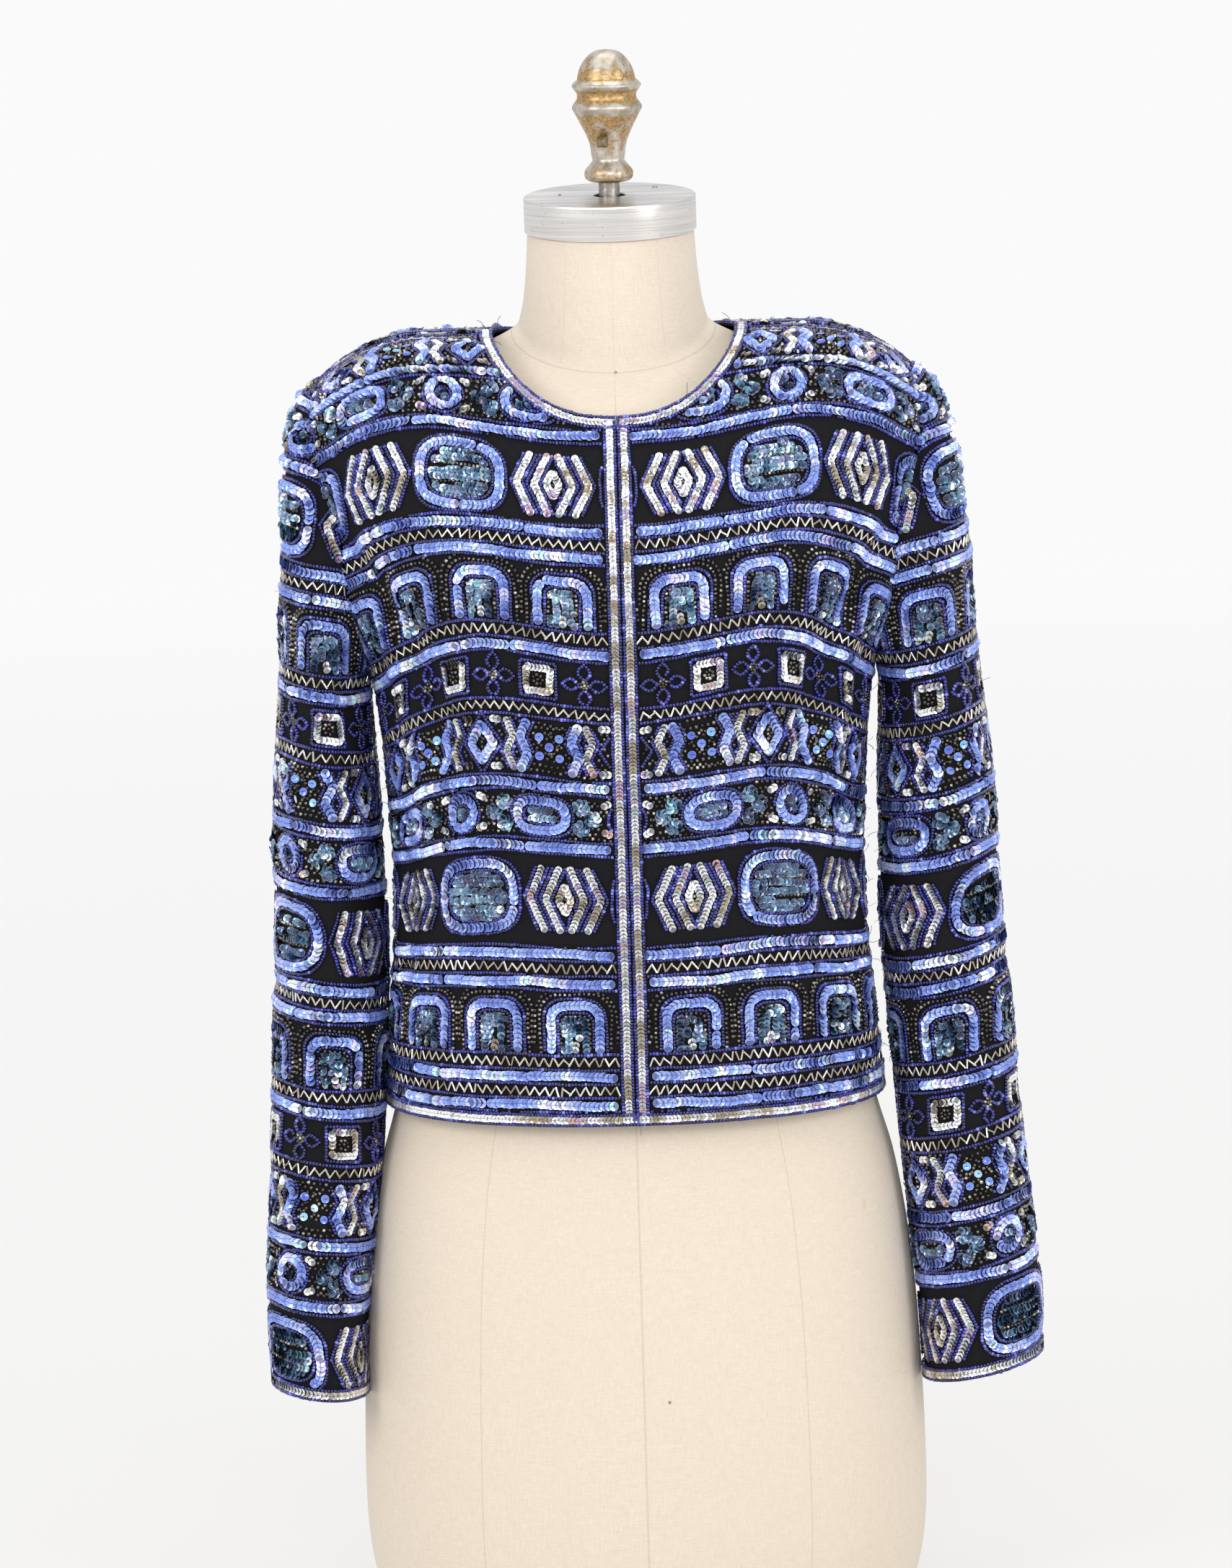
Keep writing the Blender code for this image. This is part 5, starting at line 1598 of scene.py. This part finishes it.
# one repeat of the ladder, in millimetres above the middle of the medallions
LADDER = (
    ("medallions", -28.5, 28.5), ("stripe", 33.5, 33.5), ("ovals", 39.0, 68.0), ("stripe", 73.5, 73.5),
    ("diamonds", 79.0, 116.5), ("zigzag", 121.5, 121.5), ("squares", 126.5, 155.0),
    ("stripe", 160.5, 160.5), ("zigzag", 170.0, 170.0), ("arches", 175.5, 214.5),
    ("stripe", 222.5, 222.5), ("zigzag", 231.5, 231.5), ("stripe", 240.0, 240.0),
)
HEM_LADDER = (
    ("stripe", 14.0, 14.0), ("zigzag", 22.8, 22.8), ("stripe", 32.0, 32.0), ("zigzag", 41.2, 41.2),
    ("arches", 46.0, 84.5), ("stripe", 91.6, 91.6), ("zigzag", 100.8, 100.8), ("stripe", 109.8, 109.8),
)
HEM_LADDER_TOP, EDGE_ROWS = 114.0, 9.0
BODY_MIDDLE, BODY_REPEAT = 145.0, 271.0
SLEEVE_MIDDLES, SLEEVE_REPEAT = {-1: 291.0, 1: 297.0}, 264.0


def ladder(middle, repeat_length, lowest, highest):
    rungs = []
    scale = repeat_length / BODY_REPEAT
    for k in range(-2, 3):
        for kind, low, high in LADDER:
            start = middle + k * repeat_length
            rung = (kind, start + low * scale, start + high * scale)
            if rung[1] < highest and rung[2] > lowest:
                rungs.append(rung)
    return rungs


def band_marks(rungs, span, first):
    marks = []
    for kind, low, high in rungs:
        if kind in LEVEL_ROWS:
            marks += level_row(kind, span, low)
        else:
            marks += BAND_MAKERS[kind](span, low, high, first)
    return marks


# %% [markdown]
# Hem, front edge, neckline and cuffs all end the same way: a line of seed beads on the very edge,
# a row of silver sequins and one more line of beads.

# %% Trims
TRIM_ROWS = (("seed", 1.3), ("silver", 4.4), ("seed", 7.6))
TRIM_CLEARANCE, TRIM_REACH_SHARE = 8.7, 0.6
TRIM_STAGE = 0


def inset(line, distance, side):
    """The line moved sideways by a distance, to its left on side 1 and to its right on side -1."""
    line = np.asarray(line, float)
    step = unit(np.gradient(line, axis=0))
    return line + np.stack([-step[:, 1], step[:, 0]], 1) * distance * side


def trim_marks(cloth):
    marks = []
    for kind, distance in TRIM_ROWS:
        for name, line in cloth.trims.items():
            side = {"hem": 1, "edge": -1, "neck": -1}[name]
            moved_line = inset(line, distance, side)
            if name == "edge":
                moved_line = moved_line + np.array(((0.0, distance), (0.0, -distance)))
            marks.append(mark(TRIM_STAGE, kind, moved_line, wobble=0.12))
    return marks


# %% The embroiderer
CELL = 0.5  # millimetres, fineness of the map of places already taken
JITTER, FREE_SHARE = 0.12, 0.75
FIRST_BEAD_STAGE = 2
BREAK_LENGTHS, MOST_BREAKS = (45.0, 120.0), 12
HEADING_REACH = 0.35  # share of the pitch over which a thing takes its heading from its line
BUGLE_JITTER = 0.15
SWAY_SHARES, SWAY_LENGTHS = (0.3, 0.6, 1.0), ((18, 40, 75), (30, 65, 120))
SHADE_WAVES = ((22.0, 0.9), (34.0, 0.7), (60.0, 1.0), (13.0, 0.5))
SHADE_SPAN = 1.6
TINTS = {
    # middle of the tint, its spread between neighbours, its drift along the cloth
    "blue": (0.44, 0.14, 0.34), "silver": (0.5, 0.08, 0.42), "teal": (0.48, 0.18, 0.38),
    "dot": (0.5, 0.3, 0.1), "seed": (0.5, 0.22, 0.15), "smoke": (0.5, 0.25, 0.15),
    "bugle": (0.5, 0.22, 0.2), "thread": (0.5, 0.3, 0.0),
}


class Embroiderer:
    """Works through a cloth's marks stage by stage and remembers which places are taken."""

    def __init__(self, cloth, seed):
        self.cloth, self.random = cloth, np.random.default_rng(seed)
        low, high = cloth.outline.min(0) - 10.0, cloth.outline.max(0) + 10.0
        self.low = low
        self.taken = np.zeros(np.ceil((high - low) / CELL).astype(int), bool)
        self.places = {kind: [] for kind in KINDS}
        turns = self.random.uniform(0, 2 * math.pi, (len(SHADE_WAVES), 2))
        self.waves = [(length, share, *pair) for (length, share), pair in zip(SHADE_WAVES, turns)]

    def drift(self, u, v):
        """A smooth value from -1 to 1 that wanders over the cloth."""
        total = sum(share * np.sin(2 * math.pi * (u * math.cos(turn) + v * math.sin(turn)) / length + phase)
                    for length, share, turn, phase in self.waves)
        return np.clip(total / SHADE_SPAN, -1.0, 1.0)

    def stitches(self, m):
        line = np.concatenate([m["line"], m["line"][:1]]) if m["closed"] else m["line"]
        length = np.concatenate([[0.0], np.cumsum(np.linalg.norm(np.diff(line, axis=0), axis=1))])
        count = max(1, round(length[-1] / m["pitch"]))
        at = (np.arange(count) + 0.5) * length[-1] / count
        u, v = (np.interp(at, length, line[:, axis]) for axis in (0, 1))
        near = HEADING_REACH * m["pitch"]
        ahead, behind = np.minimum(at + near, length[-1]), np.maximum(at - near, 0.0)
        du, dv = (np.interp(ahead, length, line[:, axis]) - np.interp(behind, length, line[:, axis])
                  for axis in (0, 1))
        heading = np.arctan2(dv, du)
        phases = self.random.uniform(0, 2 * math.pi, len(SWAY_SHARES))
        waves = self.random.uniform(*SWAY_LENGTHS)
        sway = sum(share * np.sin(2 * math.pi * at / wave_length + phase)
                   for share, wave_length, phase in zip(SWAY_SHARES, waves, phases))
        off = m["wobble"] * sway + self.random.normal(0.0, JITTER, count)
        u, v = u - np.sin(heading) * off, v + np.cos(heading) * off
        if m["kind"] == "bugle":
            heading = heading + ZIGZAG_SLOPE * np.where(np.arange(count) % 2 == 0, 1.0, -1.0)
            heading += self.random.normal(0.0, BUGLE_JITTER, count)
        is_row = m["kind"] in ("blue", "silver") and m["stage"] != TRIM_STAGE
        if is_row and length[-1] > BREAK_LENGTHS[0]:
            breaks = np.cumsum(self.random.uniform(*BREAK_LENGTHS, MOST_BREAKS))
            run = np.searchsorted(breaks, at)
            heading = heading + math.pi * (run % 2)
            starts = np.concatenate([[False], np.diff(run) > 0])
            u, v, heading = u[~starts], v[~starts], heading[~starts]
        return u, v, heading

    def cells(self, u, v):
        at = ((np.stack([u, v], -1) - self.low) / CELL).astype(int)
        return np.clip(at, 0, np.array(self.taken.shape) - 1)

    def free(self, u, v, reach):
        """Which places have room for a thing: most of its own round must be free."""
        a = np.arange(8) * math.pi / 4
        ring_u = u[:, None] + np.concatenate([[0.0], np.cos(a) * reach * FREE_SHARE])
        ring_v = v[:, None] + np.concatenate([[0.0], np.sin(a) * reach * FREE_SHARE])
        at = self.cells(ring_u, ring_v)
        return ~self.taken[at[..., 0], at[..., 1]].any(1)

    def take(self, u, v, reach):
        r = int(math.ceil(reach / CELL))
        i, k = np.mgrid[-r:r + 1, -r:r + 1]
        disc = np.stack([i, k], -1)[np.hypot(i, k) * CELL <= reach]
        at = np.clip(self.cells(u, v)[:, None] + disc, 0, np.array(self.taken.shape) - 1)
        self.taken[at[..., 0], at[..., 1]] = True

    def sewable(self, marks):
        """The stitches of all marks that lie inside the seams and clear of the trims."""
        runs = [np.stack(self.stitches(m), 1) for m in marks]
        places, counts = np.concatenate(runs), [len(run) for run in runs]
        reach = np.repeat([kind_value(m["kind"], "reach") for m in marks], counts)
        is_trim = np.repeat([m["stage"] == TRIM_STAGE for m in marks], counts)
        to_trim = distance_to(list(self.cloth.trims.values()), places[:, 0], places[:, 1])
        keep = self.cloth.is_inside(places[:, 0], places[:, 1])
        keep &= is_trim | (to_trim > TRIM_CLEARANCE + reach * TRIM_REACH_SHARE)
        return [run[kept] for run, kept in zip(runs, np.split(keep, np.cumsum(counts)[:-1]))]

    def work(self, marks):
        """Sews the marks; rows of the first stage may touch, so they take their places together."""
        jobs = sorted(zip(marks, self.sewable(marks)), key=lambda job: job[0]["stage"])
        waiting = []
        for m, places in jobs:
            reach = kind_value(m["kind"], "reach")
            if m["stage"] >= FIRST_BEAD_STAGE and waiting:
                for earlier in waiting:
                    self.take(*earlier)
                waiting = []
            if m["stage"] != TRIM_STAGE:
                places = places[self.free(places[:, 0], places[:, 1], reach)]
            self.places[m["kind"]].append(places)
            if m["stage"] == 1:
                waiting.append((places[:, 0], places[:, 1], reach))
            else:
                self.take(places[:, 0], places[:, 1], reach)


# %% [markdown]
# ## Where the rows crowd together
#
# The cloth is a little shorter inside its folds, at the side seams, in front of the armholes and on
# the shoulders. There the sequins of a row are pressed together and stand on edge like coins in a
# roll, and the loose fillings stick out in all directions. These places are listed.

# %% Crowded places
CROWD_COLUMNS = ("u", "v", "reach_u", "reach_v", "strength")
CROWDS = {
    "front_left": ((130, 14, 22, 9, 1.0), (132, 32, 16, 7, 0.7), (120, 219, 20, 10, 0.9),
                   (99, 184, 18, 8, 0.8), (138, 305, 28, 12, 1.0), (152, 250, 24, 42, 0.8),
                   (160, 120, 30, 60, 0.6), (110, 484, 70, 26, 0.9), (160, 390, 16, 40, 0.4),
                   (30, 219, 14, 6, 0.2)),
    "front_right": ((122, 14, 18, 9, 0.7), (140, 66, 22, 34, 0.7), (116, 183, 20, 9, 0.9),
                    (134, 222, 20, 12, 0.9), (128, 305, 24, 10, 0.9), (150, 262, 24, 34, 0.8),
                    (160, 120, 30, 60, 0.6), (104, 488, 70, 26, 0.9), (160, 398, 16, 44, 0.4)),
    "back": ((-170, 300, 30, 60, 0.8), (172, 290, 28, 70, 0.8), (-150, 60, 40, 30, 0.6),
             (160, 90, 34, 40, 0.7), (-90, 500, 60, 26, 0.7), (95, 505, 60, 24, 0.8),
             (20, 230, 30, 12, 0.5), (-60, 190, 30, 10, 0.5)),
    "sleeve_left": ((0, 600, 90, 50, 0.9), (52, 432, 22, 14, 1.0), (50, 398, 22, 12, 1.0),
                    (60, 250, 26, 70, 0.7), (-58, 330, 20, 60, 0.7), (46, 120, 20, 34, 0.7),
                    (-60, 90, 24, 60, 0.5)),
    "sleeve_right": ((0, 596, 90, 50, 0.9), (50, 436, 24, 12, 0.9), (58, 380, 22, 30, 0.8),
                     (62, 226, 24, 60, 0.7), (-60, 300, 20, 60, 0.6), (40, 130, 20, 26, 0.6),
                     (-62, 100, 24, 60, 0.5)),
}


def crowding(cloth, u, v):
    total = np.zeros(len(u))
    for place in CROWDS[cloth.name]:
        at = dict(zip(CROWD_COLUMNS, place))
        total += at["strength"] * np.exp(-((u - at["u"]) / at["reach_u"]) ** 2
                                         - ((v - at["v"]) / at["reach_v"]) ** 2)
    return total


# %% Work the chart on every piece
FRONT_FIRST = {"arches": 36.0, "squares": 24.0, "diamonds": 47.0, "ovals": 53.0, "medallions": 98.0}
BACK_FIRST = {"arches": 0.0, "squares": 0.0, "diamonds": 0.0, "ovals": 0.0, "medallions": 58.0}
SLEEVE_FIRST = {"arches": 20.0, "squares": -12.0, "diamonds": -30.0, "ovals": -12.0, "medallions": 36.0}
CROWD_NOISE, CROWDED_PAINTED_LIGHT = 0.25, 0.2
SEAM_THREADS, OTHER_THREADS = 60, 30


def chart_for(cloth):
    left, right = cloth.outline[:, 0].min(), cloth.outline[:, 0].max()
    if cloth.name.startswith("sleeve"):
        side = -1 if cloth.name.endswith("left") else 1
        rungs = ladder(SLEEVE_MIDDLES[side], SLEEVE_REPEAT, EDGE_ROWS, cloth.outline[:, 1].max())
        return band_marks(rungs, (left, right), SLEEVE_FIRST)
    rungs = [*HEM_LADDER, *ladder(BODY_MIDDLE, BODY_REPEAT, HEM_LADDER_TOP, front_half.top)]
    if cloth.name.startswith("front"):
        return band_marks(rungs, (EDGE_ROWS, right), FRONT_FIRST)
    rungs = [(kind, *back_half.height_of(front_half.ring_at(np.array(levels)))) for kind, *levels in rungs]
    return band_marks(rungs, (left, right), BACK_FIRST)


def loose_threads(cloth, hand):
    """Thread ends, most of them by the seams and edges, in any direction."""
    at = hand.random.integers(0, len(cloth.outline), SEAM_THREADS)
    by_seams = cloth.outline[at] + hand.random.normal(0.0, 3.0, (SEAM_THREADS, 2))
    low, high = cloth.outline.min(0), cloth.outline.max(0)
    u, v = np.concatenate([by_seams, hand.random.uniform(low, high, (OTHER_THREADS, 2))]).T
    keep = cloth.is_inside(u, v)
    return np.stack([u, v, hand.random.uniform(0.0, 2 * math.pi, len(u))], 1)[keep]


def embroider(cloth, seed):
    hand = Embroiderer(cloth, seed)
    hand.work(trim_marks(cloth) + chart_for(cloth))
    hand.places["thread"].append(loose_threads(cloth, hand))
    pieces, counts = [], []
    for order, (kind, places) in enumerate(hand.places.items()):
        u, v, heading = np.concatenate(places).T
        middle, spread, drift = TINTS[kind]
        # Partly painted light: on the sequins the drift gives paler stretches as painted highlight and darker
        # stretches as painted shade; on the beads it is a change of tone.
        tint = np.clip(hand.random.normal(middle, spread, len(u)) + drift * hand.drift(u, v), 0.0, 1.0)
        ruffle = crowding(cloth, u, v) + CROWD_NOISE * hand.random.random(len(u)) ** 4
        off_trims = distance_to(list(cloth.trims.values()), u, v) > TRIM_CLEARANCE
        ruffle = np.clip(ruffle, 0.0, 1.0) * off_trims
        # Painted light: crowded blue sequins stand in shaded stacks, and they get a paler tint that lifts
        # that shade.
        tint = np.clip(tint + CROWDED_PAINTED_LIGHT * ruffle * (kind == "blue"), 0.0, 1.0)
        piece = sew_on(f"{cloth.name}_{kind}", cloth, kind, u, v, heading, ruffle, tint,
                       FINISHES[kind], seed=10 * seed + order)
        pieces.append(piece)
        counts.append(f"{kind} {len(u)}")
    print(cloth.name, ", ".join(counts))
    return pieces


beadwork = {cloth.name: embroider(cloth, 100 + number) for number, cloth in enumerate(cloths)}
for pattern in PATTERNS.values():
    bpy.data.objects.remove(pattern, do_unlink=True)
sewn = [piece for pieces in beadwork.values() for piece in pieces]
print("triangles sewn on:", sum(sum(len(p.vertices) - 2 for p in piece.data.polygons) for piece in sewn))

# %% [markdown]
# ## Cloth facts
#
# Each shell's cut size and area are printed: the size that it was cut to is the size of its flat chart.

def declare(cloth, obj, pieces):
    u, v = cloth.outline.T
    flat = (float(np.ptp(u)) * MM, float(np.ptp(v)) * MM)
    float(cloth.area())
    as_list(pieces)
    print(cloth.name, "cut", [round(x, 3) for x in flat], "m, area", round(cloth.area(), 4), "m2")


for cloth in cloths:
    declare(cloth, shells[cloth.name], beadwork[cloth.name])

# %% [markdown]
# ## Studio
#
# The photograph is a plain studio shot: white ground, large soft lights in front, and the camera
# well back with a long lens, a little above the middle of the form and looking down at it.

# %% Camera
CAMERA_DISTANCE, CAMERA_PITCH, CAMERA_ROLL = 4.5, math.radians(9.0), math.radians(1.66)
TARGET_Z, LENS, SHIFT_X = 0.5246, 163.7, -0.0067

camera_data = bpy.data.cameras.new("camera")
camera = link(bpy.data.objects.new("camera", camera_data))
camera_data.lens, camera_data.sensor_width, camera_data.shift_x = LENS, 36.0, SHIFT_X
camera.matrix_world = (
    Matrix.Translation((0.0, -CAMERA_DISTANCE * math.cos(CAMERA_PITCH),
                        TARGET_Z + CAMERA_DISTANCE * math.sin(CAMERA_PITCH)))
    @ Matrix.Rotation(math.radians(90.0) - CAMERA_PITCH, 4, "X")
    @ Matrix.Rotation(-CAMERA_ROLL, 4, "Z")
)
bpy.context.scene.camera = camera

# %% Floor, lights and surroundings
BACKDROP_COLOUR, ROOM_COLOUR, ROOM_STRENGTH = (0.955, 0.955, 0.955), (0.95, 0.965, 1.0), 0.85
FLOOR_NEAR, FLOOR_FAR, FLOOR_REACH = (0.63, 0.62, 0.605), (0.735, 0.733, 0.73), 5.0


def area_light(name, place, target, size, power, colour=(1.0, 1.0, 1.0)):
    data = bpy.data.lights.new(name, "AREA")
    data.shape, data.size, data.size_y, data.energy, data.color = "RECTANGLE", *size, power, colour
    obj = link(bpy.data.objects.new(name, data))
    obj.location = place
    obj.rotation_euler = (Vector(target) - Vector(place)).to_track_quat("-Z", "Y").to_euler()


# The floor glows: its emission is painted light standing in for a lit white floor and its bounce, darker
# round the form's foot and paler towards the far edge.
floor = new_object("floor", [(-9, -6, 0), (9, -6, 0), (9, 9, 0), (-9, 9, 0)], [(0, 1, 2, 3)])
floor_paint = Nodes("floor_paint", Roughness=0.8, Emission_Strength=1.0)
floor_paint.shader.inputs["Base Color"].default_value = (0.2, 0.2, 0.2, 1.0)
away = floor_paint.add("VectorMath", operation="LENGTH")
floor_paint.join(floor_paint.object_place(), away.inputs[0])
share_away = floor_paint.math("DIVIDE", away.outputs["Value"], FLOOR_REACH)
floor_paint.feed("Emission Color", floor_paint.ramp(share_away, (0.0, FLOOR_NEAR), (1.0, FLOOR_FAR)))
floor.data.materials.append(floor_paint.material)

area_light("key_left", (-2.3, -2.3, 1.9), (0.0, 0.0, 0.6), (0.9, 1.6), 36.0)
area_light("key_right", (2.4, -2.0, 1.5), (0.0, 0.0, 0.55), (0.8, 1.5), 28.0)
area_light("front", (0.15, -3.7, 2.1), (0.0, 0.0, 0.6), (1.5, 0.9), 31.0)
area_light("top", (0.0, 0.1, 2.8), (0.0, 0.0, 0.6), (1.8, 1.2), 16.0)

world = bpy.data.worlds.new("studio")
bpy.context.scene.world = world
world.use_nodes = True
sky = world.node_tree
backdrop, room = sky.nodes["Background"], sky.nodes.new("ShaderNodeBackground")
for surface, colour, strength in ((backdrop, BACKDROP_COLOUR, 1.0), (room, ROOM_COLOUR, ROOM_STRENGTH)):
    surface.inputs["Color"].default_value = (*colour, 1.0)
    surface.inputs["Strength"].default_value = strength
seen, choose = sky.nodes.new("ShaderNodeLightPath"), sky.nodes.new("ShaderNodeMixShader")
sky.links.new(seen.outputs["Is Camera Ray"], choose.inputs["Fac"])
sky.links.new(room.outputs[0], choose.inputs[1])
sky.links.new(backdrop.outputs[0], choose.inputs[2])
sky.links.new(choose.outputs[0], sky.nodes["World Output"].inputs["Surface"])
bpy.context.scene.view_settings.view_transform = "Standard"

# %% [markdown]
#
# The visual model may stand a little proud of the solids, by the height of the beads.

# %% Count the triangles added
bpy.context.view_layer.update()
solid_names = [*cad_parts, "floor"]
added = [obj for obj in bpy.context.scene.objects if obj.type == "MESH" and obj.name not in solid_names]
triangles = {obj.name: sum(len(face.vertices) - 2 for face in obj.data.polygons) for obj in added}
print("triangles added", sum(triangles.values()), "most in one mesh", max(triangles.values()))
